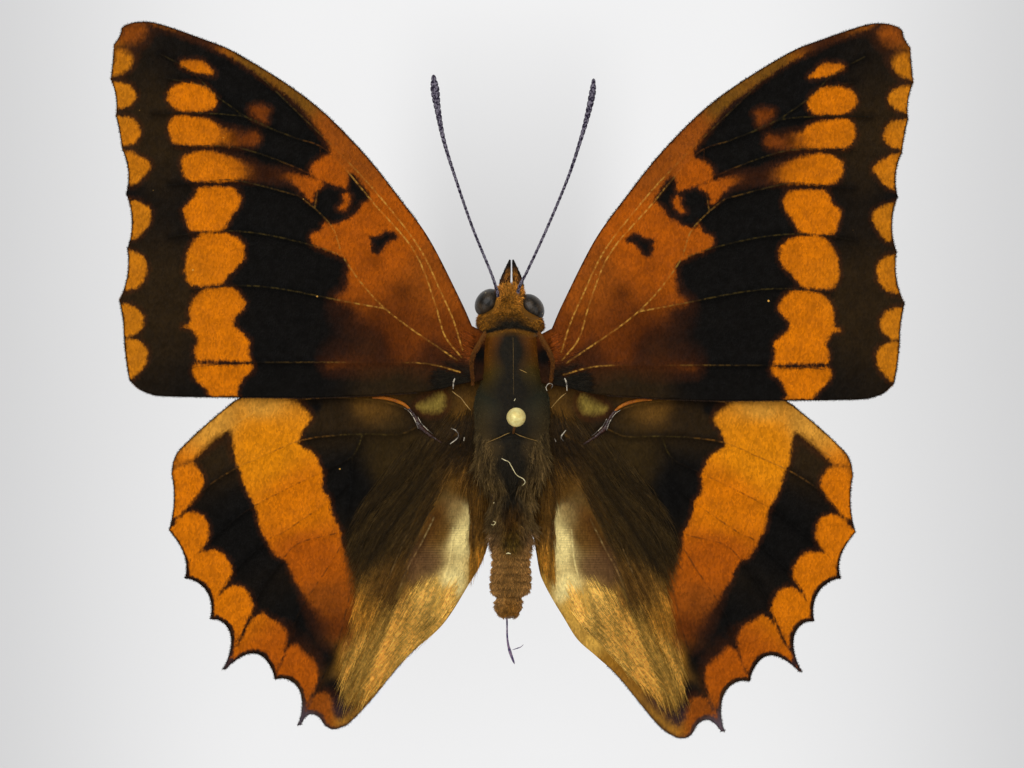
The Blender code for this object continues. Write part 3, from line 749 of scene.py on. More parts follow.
HIND_ENDS = {
    "shoulder": ((32.2, -7.75), 0.0, 1.0, 0.0),
    "Sc": ((32.35, -8.9), 0.36, 1.0, 0.0),
    "Rs": ((32.6, -14.2), 0.66, 1.2, 0.0),
    "M1": ((31.1, -18.8), 1.13, 0.95, 0.0),
    "M2": ((28.7, -22.65), 1.55, 0.72, 0.0),
    "M3": ((27.55, -27.45), 2.05, 1.1, 0.35),
    "CuA1": ((22.55, -28.4), 1.64, 0.75, 0.0),
    "CuA2": ((20.4, -32.75), 0.72, 1.1, 0.35),
    "2A": ((18.2, -32.15), 0.0, 1.0, 0.0),
}
HIND_TRAIL = listed("""
    18.2,-32.15 17.75,-32.8 17.0,-33.15 16.2,-32.95 15.4,-32.5 13.5,-30.5 10.1,-26.45 7.2,-23.9
    5.8,-22.2 4.2,-19.6 3.1,-17.8 2.5,-16.4""")
HIND_ENDS_RIGHT = {
    **HIND_ENDS,
    "M1": ((31.2, -18.6), 1.13, 0.95, 0.0),
    "CuA2": ((20.2, -33.15), 0.85, 1.25, 0.35),
    "2A": ((17.45, -32.7), 0.0, 1.0, 0.0),
}
HIND_TRAIL_RIGHT = listed("""
    17.45,-32.7 16.95,-33.5 16.3,-33.8 15.3,-33.6 13.7,-32.4 10.15,-28.1 8.0,-26.1 6.2,-24.5
    4.9,-22.45 3.65,-20.4 2.75,-18.6 2.45,-17.4""")
HIND_ROOT = listed("1.9,-14.0 2.0,-11.5 2.7,-9.0 2.9,-5.0 2.7,-2.0")
HIND_VEINS = {
    "Sc": listed("""
        5.0,-5.0 6.7,-5.7 8.6,-4.2 9.8,-2.8 12.9,-1.9 17.0,-1.6 21.5,-2.0 23.9,-2.7 27.3,-4.8
        30.2,-7.0"""),
    "Rs": listed("""
        8.6,-4.2 10.7,-5.1 13.6,-5.1 16.6,-5.2 20.1,-5.7 23.7,-7.2 26.7,-8.6 29.2,-10.3 31.4,-12.6"""),
    "M1": listed("14.2,-5.2 15.2,-7.2 17.9,-8.6 22.0,-10.6 25.4,-12.5 28.7,-15.2"),
    "M2": listed("15.2,-9.6 17.3,-11.4 21.7,-14.4 23.0,-15.0 26.6,-18.3 27.9,-20.7"),
    "M3": listed("""
        4.9,-6.1 9.6,-9.3 14.2,-13.0 16.4,-14.4 20.1,-15.4 21.8,-17.0 23.8,-19.9 25.8,-24.4"""),
    "CuA1": listed("15.0,-13.6 17.2,-17.3 20.1,-21.8 21.3,-25.1"),
    "CuA2": listed("12.4,-11.6 14.6,-17.0 16.5,-24.7 18.6,-29.5"),
    "2A": listed("5.2,-7.2 8.9,-12.5 11.4,-18.0 14.2,-25.5 16.8,-30.6"),
    "3A": listed("7.4,-13.0 8.7,-15.6 10.0,-18.0 11.0,-20.7"),
    "inner": listed("5.6,-14.0 5.9,-17.0 6.7,-20.0 7.3,-21.8"),
    "cell_end": [(15.2, -7.2), (15.2, -9.6), (15.8, -13.9)],
}
FOLD_DROP = 2.2
FOLD_WIDTH = 5.0
BAY_STEPS = 22
BAY_FULLNESS = 0.75


@dataclass(frozen=True)
class Spread:
    """A value that holds at one place of the wing and fades with distance."""
    x: float
    y: float
    reach: float
    value: float


@dataclass(frozen=True)
class Pattern:
    """What one face of a wing shows: its markings, the colours of the light and the dark parts and
    of the veins, partly painted glints on the veins, where markings fade softly, how wide the dark edge
    line is, where painted glints of loose scales lie, where the wing is smudged, and where fine ribs
    cross the membrane."""
    marks: list
    light: list
    dark: list
    veins: list
    soft: list
    edges: list
    painted_glints: list
    smudges: list | tuple = ()
    ribs: list | tuple = ()


def spreads(table: str) -> list[Spread]:
    """Spreads from a table of column, row, reach and value, with commas."""
    return [Spread(*map(float, row.split())) for row in table.split(",")]


def O(table: str) -> tuple[Mark, list]:
    """An orange marking, outlined by a row of column,row places."""
    return Mark.ORANGE, listed(table)


def B(table: str) -> tuple[Mark, list]:
    """A black marking, outlined by a row of column,row places."""
    return Mark.BLACK, listed(table)


FORE_MARKS = [
    # Root, cell and the strip along the leading edge, orange up to the black outer part
    O("500,320 462,270 430,215 400,170 362,125 320,82 280,52 240,30 200,15 160,8 150,22 165,29 "
      "200,43 240,63 275,87 298,105 316,126 328,145 330,154 318,160 311,168 314,178 330,184 "
      "348,192 346,214 326,222 321,230 312,234 311,241 317,247 335,254 343,258 348,263 348,276 "
      "346,290 338,299 352,306 358,318 366,332 372,348 345,361 330,366 360,364 400,363 440,366 "
      "500,372"),
    # Postdiscal row, from the leading edge down
    O("183,61 195,60 202,61 207,65 216,75 200,74 188,70 181,66"),
    O("168,97 171,90 176,86 185,84 197,84 206,87 213,93 217,99 216,106 210,111 195,112 180,111 "
      "170,104"),
    O("169,128 173,119 180,116 195,117 210,120 220,127 225,137 222,144 210,146 190,146 178,145 "
      "171,138"),
    O("222,130 232,131 244,134 256,132 261,138 256,145 246,146 230,146 222,143"),
    O("250,108 258,106 264,107 271,110 268,115 267,123 259,120 253,115"),
    O("182,160 188,155 200,151 215,152 230,156 243,162 250,170 249,177 235,181 215,182 195,182 "
      "184,175"),
    O("246,165 262,170 285,173 300,175 325,183 318,195 312,202 302,192 290,182 272,179 248,178"),
    O("200,188 215,187 233,188 241,198 239,207 232,217 225,229 214,232 200,232 190,230 186,220 "
      "184,209 192,200 196,193"),
    O("203,234 216,233 232,235 243,243 245,255 240,265 229,276 222,284 212,286 195,286 187,280 "
      "185,268 188,252 195,240"),
    O("203,291 213,288 232,288 241,295 246,304 242,311 236,318 235,326 243,333 250,341 249,352 "
      "252,363 253,370 245,377 240,384 237,392 238,397 214,397 206,388 197,380 193,370 196,362 "
      "195,350 198,340 192,330 183,327 190,322 190,310 195,298"),
    B("190,361 215,360.5 240,361.5 254,363 240,365 215,364.5 190,364"),
    # Marginal row, open to the edge
    O("100,20 122,20 140,22 147,30 141,40 126,45 105,46"),
    O("100,50 118,49 128,52 133,61 129,70 118,76 100,78"),
    O("100,84 120,83 132,87 137,96 133,104 122,109 100,109"),
    O("100,119 124,117 136,121 141,130 138,141 128,146 100,147"),
    O("104,153 128,151 140,156 149,161 152,166 148,173 140,182 131,186 104,187"),
    O("106,202 132,200 144,204 151,209 152,217 147,228 139,237 131,239 106,238"),
    O("104,252 131,251 142,256 147,263 147,274 141,285 130,290 104,290"),
    O("98,306 124,304 137,308 144,316 143,327 135,335 124,337 98,336"),
    O("100,340 128,338 141,342 148,350 147,362 139,373 130,378 100,374"),
    # Black marks in the cell
    B("349,175 356,176 362,185 370,197 363,203 357,212 348,219 334,225 326,222 319,211 314,200 "
      "315,193 322,187 330,185 338,187 343,192 347,188"),
    O("343,195 347,193 351,197 349,206 343,211 338,208 344,202"),
    B("370,237 380,235 385,231 395,233 398,239 391,241 386,246 379,254 372,252 371,243"),
]
FORE_PATTERN = Pattern(
    marks=FORE_MARKS,
    # In the light colours, soot at column 479 is painted shade in the gap beside the thorax, over the
    # forewing's root
    light=zones("""
        orange 198 90, orange 212 210, orange 225 350, amber 125 80, amber 140 220, amber 136 350,
        russet 133 33 1.6, maroon 200 38 2.2, honey 256 62 2, honey 300 92 2, russet 340 128 1.8,
        russet 365 160 3, rust 258 112 1.6, rust 250 139 1.2, maroon 268 175 1.4,
        copper 330 180 2.4, copper 380 235 4, russet 440 270 3.5, rust 400 325 2.6, rust 455 335 2,
        maroon 374 345 2, maroon 440 358 2, sable 462 380 1.8, soot 479 354 1"""),
    dark=zones("""
        umber 162 130 2.4, umber 168 300 2.4, soot 118 200 1.2, soot 240 110 4, soot 280 240 4,
        soot 290 365 4, soot 345 270 3, umber 395 380 2.5, sable 456 384 1.8"""),
    # Of the vein colours, buff is painted glints along the veins
    veins=zones("""
        soot 165 160 6 0.85, soot 190 320 6 0.8, moss 280 265 4 0.45, moss 240 110 4 0.35,
        buff 385 220 3.5 0.75, buff 435 290 4.5 0.85, russet 320 172 1.6 0.15, maroon 380 360 2 0.4"""),
    soft=spreads("""
        350 338 4 1.4, 368 350 3 1.8, 133 36 2 1, 330 110 3 0.35, 225 138 1.2 0.5,
        236 138 1.5 0.5, 440 368 5 0.9, 250 170 1.4 0.6, 280 175 2 0.4, 260 114 1 0.45,
        122 60 1.5 0.4"""),
    edges=spreads("250 402 12 0.12"),
    painted_glints=spreads("430 260 7 0.05, 440 320 6 0.06, 210 220 14 0.08, 440 378 3 0.05"),
    # Shadowy smudges: place, reach in millimetres and how much colour they take away
    smudges=spreads("""
        402 290 1.2 0.55, 372 262 1.1 0.35, 383 332 2.6 0.4, 330 204 0.8 0.3, 233 138 0.7 0.6,
        268 175 1.3 0.5"""),
)
HIND_MARKS = [
    # Orange from the shoulder along the band
    O("285,380 250,378 205,395 160,440 160,466 188,463 197,456 205,448 212,441 222,434 230,431 "
      "233,445 235,460 240,470 244,485 250,498 255,506 257,515 260,528 265,538 270,547 276,556 "
      "285,560 289,568 293,578 300,588 305,598 312,607 318,616 325,628 332,642 346,634 352,618 "
      "356,602 355,582 348,566 344,551 341,540 341,531 336,522 331,509 329,498 323,491 322,481 "
      "323,472 319,465 317,458 311,452 303,447 299,443 301,436 304,428 311,419 308,412 300,405 "
      "292,398"),
    # Marginal row
    O("158,470 168,468 190,463 200,471 204,480 201,490 192,502 182,514 172,518 158,516"),
    O("160,531 172,527 179,518 190,512 203,516 208,525 209,535 205,545 197,555 191,562 180,575 "
      "166,570 158,548"),
    O("181,572 190,560 197,553 213,550 222,553 229,562 232,573 227,583 218,597 210,612 203,618 "
      "180,600"),
    O("203,615 211,603 222,592 236,585 247,591 253,603 252,612 245,625 240,638 232,652 222,672 "
      "214,660"),
    O("232,655 241,640 250,622 262,613 270,618 282,625 287,635 285,648 283,657 276,674 268,690 "
      "250,680"),
    O("270,688 277,673 284,655 290,646 297,645 303,652 313,660 318,672 316,685 311,698 304,714 "
      "292,730 280,712"),
    O("300,722 306,710 311,701 316,694 326,693 331,699 333,712 339,719 349,714 362,704 380,690 "
      "386,700 366,722 346,738 318,742 300,740"),
    O("416,406 424,402 432,398 441,392 445,397 445,404 441,411 432,412 422,411"),
    O("460,501 464.5,508 467,520 468.5,535 469,552 468.5,568 467,584 463,598 456,612 440,628 "
      "424,612 424,580 430,550 440,525 450,507"),
    B("334,694 341,690 347,698 345,711 339,718 334,710"),
]
HIND_PATTERN = Pattern(
    marks=HIND_MARKS,
    light=zones("""
        apricot 215 418 2.2, apricot 262 400 2.2, bright 265 445 3.5, orange 190 500 3,
        orange 225 590 3, orange 300 500 3, copper 308 560 3, copper 285 670 3, russet 322 600 2,
        rust 334 632 1.6, russet 318 708 1.6, ochre 356 712 1.6, khaki 430 404 1,
        bronze 436 530 1.6, fawn 430 562 1, straw 464 540 1.2, straw 456 584 1.2, gold 440 602 1.6"""),
    dark=zones("""
        umber 215 450 2.5, soot 245 530 3.5, soot 300 625 3.5, umber 325 415 2, soot 317 408 1.1,
        bronze 372 400 1.4, umber 430 422 1.6, bronze 468 425 1.4, soot 350 490 3.5,
        olive 395 470 3, olive 385 535 2.6, bronze 366 590 2, bronze 462 480 1.4,
        bronze 477 545 1.4, bronze 428 520 1.8, fawn 420 566 1.6, ochre 354 655 2, soot 322 655 1.8,
        soot 333 690 1.2, gold 410 618 1.8, ochre 376 676 1.4, gold 458 575 1.4, straw 464 520 1,
        slate 340 704 1.2, slate 222 671 1, lilac 297 726 1"""),
    # Of the vein colours, tan and straw are painted glints along the veins
    veins=zones("""
        rust 280 470 3 0.7, umber 310 540 3 0.6, soot 230 550 6 0.6, apricot 250 412 4 0.5,
        bronze 398 404 1.4 0.8, moss 360 436 2 0.6, soot 352 490 3.5 0.1, tan 410 560 1.6 0.8,
        straw 449 556 1.4 0.7, soot 300 690 3 0.7"""),
    soft=spreads("""
        330 625 3 1, 350 590 2.5 0.9, 345 560 1.5 0.5, 212 440 1.8 0.45, 372 700 3 1.2,
        290 395 2 0.5, 175 462 1.5 0.6, 432 404 1.4 0.9, 428 570 3.2 2, 440 520 1.6 1.2,
        440 620 2 1.2"""),
    edges=spreads("""
        200 590 3 0.4, 235 625 3.5 0.42, 262 655 3 0.42, 290 685 2.5 0.42, 312 712 2.2 0.42"""),
    painted_glints=spreads("415 410 4 0.04, 300 440 14 0.01, 230 560 8 0.012"),
    smudges=spreads("228 418 1.4 0.15, 325 618 2 0.3"),
    ribs=spreads("432 550 1.8 0.7, 452 532 1.2 0.5"),
)
# The underside can't be seen: the kind's usual chestnut and lilac-grey with white-edged dark marks
UNDER_MARKS = [
    O("505,300 440,230 370,130 280,60 180,15 110,20 105,200 110,400 300,405 500,400"),
    B("300,95 318,120 300,150 322,178 300,205 318,240 300,270 322,300 300,340 290,336 306,300 "
      "284,268 302,240 284,205 304,178 284,150 300,122 286,98"),
    B("370,190 384,200 392,222 380,226 372,208 362,196"),
    B("400,235 412,248 416,268 405,268 400,252 390,240"),
    B("440,290 450,300 446,312 436,304"),
    B("190,100 205,106 200,150 214,200 206,250 222,300 216,345 206,345 210,302 196,252 202,202 "
      "188,150"),
]
UNDER_HIND_MARKS = [
    O("500,380 330,370 200,380 150,460 150,560 230,690 330,740 420,660 500,560"),
    B("330,400 345,430 330,460 350,500 344,540 362,580 352,582 334,540 338,502 318,460 332,432 "
      "318,402"),
    B("400,420 412,436 404,460 394,452 398,436 390,424"),
    B("205,470 222,500 238,545 262,590 292,640 306,680 296,680 282,644 252,596 228,550 212,506 "
      "198,476"),
]
UNDER_LIGHT = zones("""
        lilac 160 180 6, fawn 265 230 4, russet 350 180 5, russet 420 320 5, lilac 220 540 6,
        tan 290 560 3""")
UNDER_DARK = zones("maroon 300 200 6, slate 200 300 5, maroon 360 500 6")
UNDER_VEINS = zones("tan 250 250 9 0.5, fawn 350 520 9 0.5")
FORE_UNDER = Pattern(UNDER_MARKS, UNDER_LIGHT, UNDER_DARK, UNDER_VEINS, [], [], [])
HIND_UNDER = Pattern(UNDER_HIND_MARKS, UNDER_LIGHT, UNDER_DARK, UNDER_VEINS, [], [], [])


def bay(start: tuple, end: tuple, depth: float, lean: float) -> list:
    """The curve between two vein ends, cut into the wing.

    Args:
        start: where it starts.
        end: where it would end.
        depth: how deep it is cut.
        lean: under 1, the cut comes early.

    Returns:
        Places from the start up to just before the end.
    """
    t = np.arange(BAY_STEPS) / BAY_STEPS
    along = np.subtract(end, start)
    inward = np.array((along[1], -along[0])) / np.hypot(*along)
    cut = depth * np.sin(math.pi * t ** lean) ** BAY_FULLNESS
    cut[0] = 0.0
    return list(np.array(start) + along * t[:, None] + inward * cut[:, None])


def outline(costa: list, ends: dict, trail: list, root: list, bow: float = 0.0) -> Array:
    """A wing's edge, from the root along the leading edge, down the bays and back.

    Args:
        costa: the leading edge.
        ends: vein ends with the bay after each.
        trail: the trailing edge.
        root: the edge inside the body.
        bow: how much the leading edge bulges, in millimetres.

    Returns:
        (N, 2) places.
    """
    edge = smooth_path(costa, 8)[:-1]
    edge[:, 1] += bow * np.sin(math.pi * np.arange(len(edge)) / len(edge))
    edge = list(edge)
    stops = list(ends.values())
    for (place, depth, lean, tail), (following, *_) in zip(stops, stops[1:]):
        if tail:
            edge.append(np.array(place))
        edge += bay((place[0] - tail, place[1]), following, depth, lean)
    edge += list(smooth_path(trail, 6))
    edge += list(smooth_path(root, 3))
    return np.array(edge)


def spread_value(spreads: list[Spread], places: Array, base: float) -> Array:
    """The base value, raised near the spreads' places.

    Args:
        spreads: local values.
        places: (N, 2) wing places.
        base: the value elsewhere.

    Returns:
        (N,) values.
    """
    value = np.full(len(places), base)
    for local in spreads:
        gap = np.hypot(*(places - spot(local.x, local.y)).T)
        value = np.maximum(value, base + (local.value - base) * np.exp(-(gap / local.reach) ** 2))
    return value


@dataclass
class Wing:
    """One wing: a thin sheet with ridged veins, pleated between them, painted on both faces.

    The plan is a plain triangulation, since a scalloped sheet with veins fits no primitive."""
    name: str
    side: Side
    edge: Array
    veins: dict
    level: float
    top: Pattern
    under: Pattern
    slide: tuple = (0.0, 0.0)
    turn: float = 0.0
    inner_edge: list | None = None
    pattern_edge: Array | None = None
    grid: float = 0.22
    thickness: float = 0.1
    ridge: float = 0.075
    vein_width: float = 0.16
    vein_step: float = 0.16
    pleat: float = 0.1

    def lines(self) -> list[Array]:
        """The veins as smooth lines in the wing's plan, with a point every vein_step.

        Returns:
            (N, 2) places for each vein.
        """
        lines = []
        for points in self.veins.values():
            path = smooth_path(points, 12)
            run = length_run(path)
            at = np.linspace(0, run[-1], int(run[-1] / self.vein_step) + 2)
            lines.append(sampled(path, run, at))
        return lines

    def plan(self) -> tuple[Array, Array]:
        """The wing's flat triangulation.

        Returns:
            (N, 2) places and (M, 3) point numbers.
        """
        points = [tuple(place) for place in self.edge]
        count = len(points)
        edges = [(i, (i + 1) % count) for i in range(count)]
        low, high = self.edge.min(0), self.edge.max(0)
        rows = np.arange(low[1], high[1], self.grid * 0.87)
        cells = np.array([(x + (i % 2) * self.grid / 2, y) for i, y in enumerate(rows)
                          for x in np.arange(low[0], high[0], self.grid)])
        clear = inside_depth(cells, self.edge) > self.grid * 0.45
        for line in self.lines():
            clear &= distances(cells, line)[0] > self.grid * 0.6
            slope = np.gradient(line, axis=0)
            slope /= np.hypot(*slope.T)[:, None]
            across = np.stack((-slope[:, 1], slope[:, 0]), axis=1) * self.vein_width / 2
            for share in (-1, 0, 1):
                row = line + across * share
                row = row[inside_depth(row, self.edge) > self.grid * 0.3]
                points += [tuple(place) for place in row]
        points += [tuple(place) for place in cells[clear]]
        border = list(range(count))[::-1]
        flat, _, faces, *_ = delaunay_2d_cdt([Vector(p) for p in points], edges, [border], 1, 1e-3)
        used = sorted({i for face in faces for i in face})
        number = np.full(len(flat), -1)
        number[used] = np.arange(len(used))
        return np.array([flat[i][:] for i in used]), number[np.array(faces)]

    def turned(self, places: Array) -> Array:
        """Wing places after this wing's own small turn and slide.

        Args:
            places: (N, 2) plan places.

        Returns:
            (N, 2) turned places.
        """
        angle = math.radians(self.turn)
        out, ahead = places[:, 0] - ROOT, places[:, 1]
        return np.stack((out * math.cos(angle) - ahead * math.sin(angle) + ROOT + self.slide[0],
                         out * math.sin(angle) + ahead * math.cos(angle) + self.slide[1]), axis=1)

    def height(self, places: Array) -> Array:
        """The sheet's middle height over the floor.

        Args:
            places: (N, 2) plan places.

        Returns:
            (N,) heights in millimetres.
        """
        share = np.clip((self.turned(places)[:, 0] - ROOT) / REACH, 0, 1)
        rise = self.level + RISE * share + ARCH * np.sin(math.pi * share)
        if self.inner_edge:
            inner = [p for p in self.inner_edge if p[0] < 14.0][::-1]
            border = np.interp(-places[:, 1], [-p[1] for p in inner], [p[0] for p in inner])
            near = np.clip(1 - (places[:, 0] - border) / FOLD_WIDTH, 0, 1)
            rise -= FOLD_DROP * near ** 2 * np.interp(-places[:, 1], (7.5, 12.0, 20.0, 30.0),
                                                      (0.0, 1.0, 0.9, 0.0))
        return rise

    def space(self, places: Array, lift: float = 0.0) -> Array:
        """Places in the model for plan places.

        Args:
            places: (N, 2) plan places.
            lift: millimetres over the sheet's middle.

        Returns:
            (N, 3) places in millimetres.
        """
        flat = self.turned(places)
        return np.stack((self.side.value * flat[:, 0], flat[:, 1], self.height(places) + lift), 1)

    def pattern_places(self, places: Array) -> Array:
        """Where each place would lie on the left wing, whose photograph the pattern follows.

        Args:
            places: (N, 2) plan places.

        Returns:
            (N, 2) places in the left wing's plan.
        """
        if self.pattern_edge is None:
            return places
        shift = self.pattern_edge - self.edge
        gap = np.hypot(places[:, None, 0] - self.edge[None, ::PULL_STEP, 0],
                       places[:, None, 1] - self.edge[None, ::PULL_STEP, 1])
        weight = 1 / (0.05 + gap) ** 3
        moved = weight @ shift[::PULL_STEP] / weight.sum(1)[:, None]
        return places + moved * np.exp(-gap.min(1) / PULL_REACH)[:, None]

    def fields(self, pattern: Pattern, places: Array) -> dict[str, Array]:
        """The painted fields of one face.

        Args:
            pattern: what the face shows.
            places: (N, 2) plan places.

        Returns:
            Values by attribute name.
        """
        at = self.pattern_places(places)
        tone = np.full(len(at), -DEEPEST)
        for mark, points in pattern.marks:
            shape = smooth_path([spot(*p) for p in points], 5, closed=True)
            near = ((at > shape.min(0) - 2) & (at < shape.max(0) + 2)).all(1)
            depth = np.full(len(at), -DEEPEST)
            depth[near] = inside_depth(at[near], shape)
            tone = np.maximum(tone, depth) if mark is Mark.ORANGE else np.minimum(tone, -depth)
        ring = np.vstack([self.edge, self.edge[:1]])
        border, _ = distances(places, ring)
        tone = np.minimum(tone, (border - spread_value(pattern.edges, at, EDGE_LINE)) * 1.5)
        keep = 1 - spread_value(pattern.smudges, at, 0.0)[:, None] * (1, 1, 1, 0)
        vein = np.full(len(at), PAST_VEINS)
        for line in self.lines():
            vein = np.minimum(vein, distances(places, line)[0])
        veins = blend(pattern.veins, at)
        return {"tone": tone, "soft": spread_value(pattern.soft, at, SOFTNESS), "vein": vein,
                "light": blend(pattern.light, at) * keep, "dark": blend(pattern.dark, at),
                "vein_tint_and_glint": veins, "painted_glints": spread_value(pattern.painted_glints, at, 0.0),
                "ribs": spread_value(pattern.ribs, at, 0.0)}

    def build(self) -> Piece:
        """The wing's mesh with its painted fields.

        Returns:
            The object, its lower faces on the second material slot.
        """
        places, faces = self.plan()
        top, under = self.fields(self.top, places), self.fields(self.under, places)
        bump = self.ridge * np.clip(1.3 - top["vein"] / self.vein_width, 0, 1)
        hollow = self.pleat * (1 - np.exp(-(top["vein"] / 0.9) ** 2))
        up = self.space(places)
        down = up.copy()
        up[:, 2] += self.thickness / 2 + bump - hollow
        down[:, 2] -= self.thickness / 2 + bump * 0.6 + hollow
        count = len(places)
        # On the left side the plan is mirrored, so its faces are turned round
        turned = faces if self.side is Side.RIGHT else faces[:, ::-1]
        rows = [tuple(map(int, face)) for face in turned]
        rows += [tuple(int(i) + count for i in face[::-1]) for face in turned]
        sides = {(face[i], face[(i + 1) % 3]) for face in rows[:len(faces)] for i in range(3)}
        rows += [(b, a, a + count, b + count) for a, b in sorted(sides) if (b, a) not in sides]
        piece = sheet_object(self.name, np.vstack([up, down]), rows)
        for key in top:
            paint(piece, key, np.concatenate([top[key], under[key]]))
        index = np.zeros(len(rows), np.int32)
        index[len(faces):2 * len(faces)] = 1
        piece.data.materials.append(None)
        piece.data.materials.append(None)
        piece.data.polygons.foreach_set("material_index", index)
        return piece


# Body, front to back: ahead, half width, half height, middle's height, middle's place across
BODY = listed("""
    9.15,0.4,0.4,25.1,-0.1 8.95,0.85,0.8,25.1,-0.15 8.4,1.2,1.35,25.0,-0.22
    7.7,1.5,1.8,25.0,-0.28 7.1,1.6,1.9,25.1,-0.28 6.75,1.9,1.9,25.1,-0.28 6.4,2.5,1.95,25.1,-0.28
    6.0,2.95,2.3,25.1,-0.25 5.4,3.1,2.6,25.1,-0.15 4.95,3.05,2.8,25.15,-0.1 4.6,2.8,3.0,25.2,-0.1
    3.9,2.72,3.3,25.25,-0.1 2.2,2.78,3.55,25.3,-0.1 0.0,3.0,3.65,25.3,0.0 -2.0,3.55,3.65,25.3,0.0
    -5.0,3.55,3.55,25.25,0.0 -7.4,3.4,3.2,25.1,0.0 -9.2,2.8,2.65,24.9,0.0 -10.1,2.15,2.2,24.7,0.0
    -10.7,1.8,1.85,24.5,0.0 -12.0,1.9,1.95,24.4,-0.02 -15.0,1.8,1.9,24.2,-0.07
    -17.0,1.78,1.8,24.1,-0.1 -19.4,1.9,1.85,23.9,-0.15 -20.15,1.82,1.7,23.85,-0.18
    -20.8,1.15,1.3,23.8,-0.3 -21.3,1.3,1.3,23.78,-0.34 -22.0,1.15,1.2,23.75,-0.34
    -22.5,0.8,0.9,23.7,-0.32 -22.78,0.4,0.5,23.7,-0.3""")
SEGMENT = 0.72
SEGMENTS_START = -10.6
# Hair along the body: millimetres ahead, pigment on the middle line, pigment at the sides
# At the sides of the thorax's rear the grey-olive is partly painted sheen of the cuticle, partly its
# grey powder
BODY_BANDS = [
    (9.2, "gilt", "gilt"), (7.6, "honey", "gilt"), (6.5, "honey", "honey"), (5.9, "bark", "honey"),
    (5.55, "sable", "honey"), (5.25, "sable", "sable"), (5.0, "sable", "sable"),
    (4.8, "honey", "honey"), (4.5, "bark", "honey"), (4.1, "sable", "chestnut"),
    (2.8, "sable", "chestnut"), (0.8, "sable", "loam"), (-1.6, "sable", "drab_sheen"),
    (-6.4, "sable", "dun"), (-8.6, "sable", "dun"), (-11.2, "sable", "dun"), (-13.2, "bark", "dun"),
    (-15.4, "loam", "fawn"), (-17.0, "cinnamon", "sand"), (-20.5, "cinnamon", "sand"),
    (-22.6, "honey", "honey"),
]


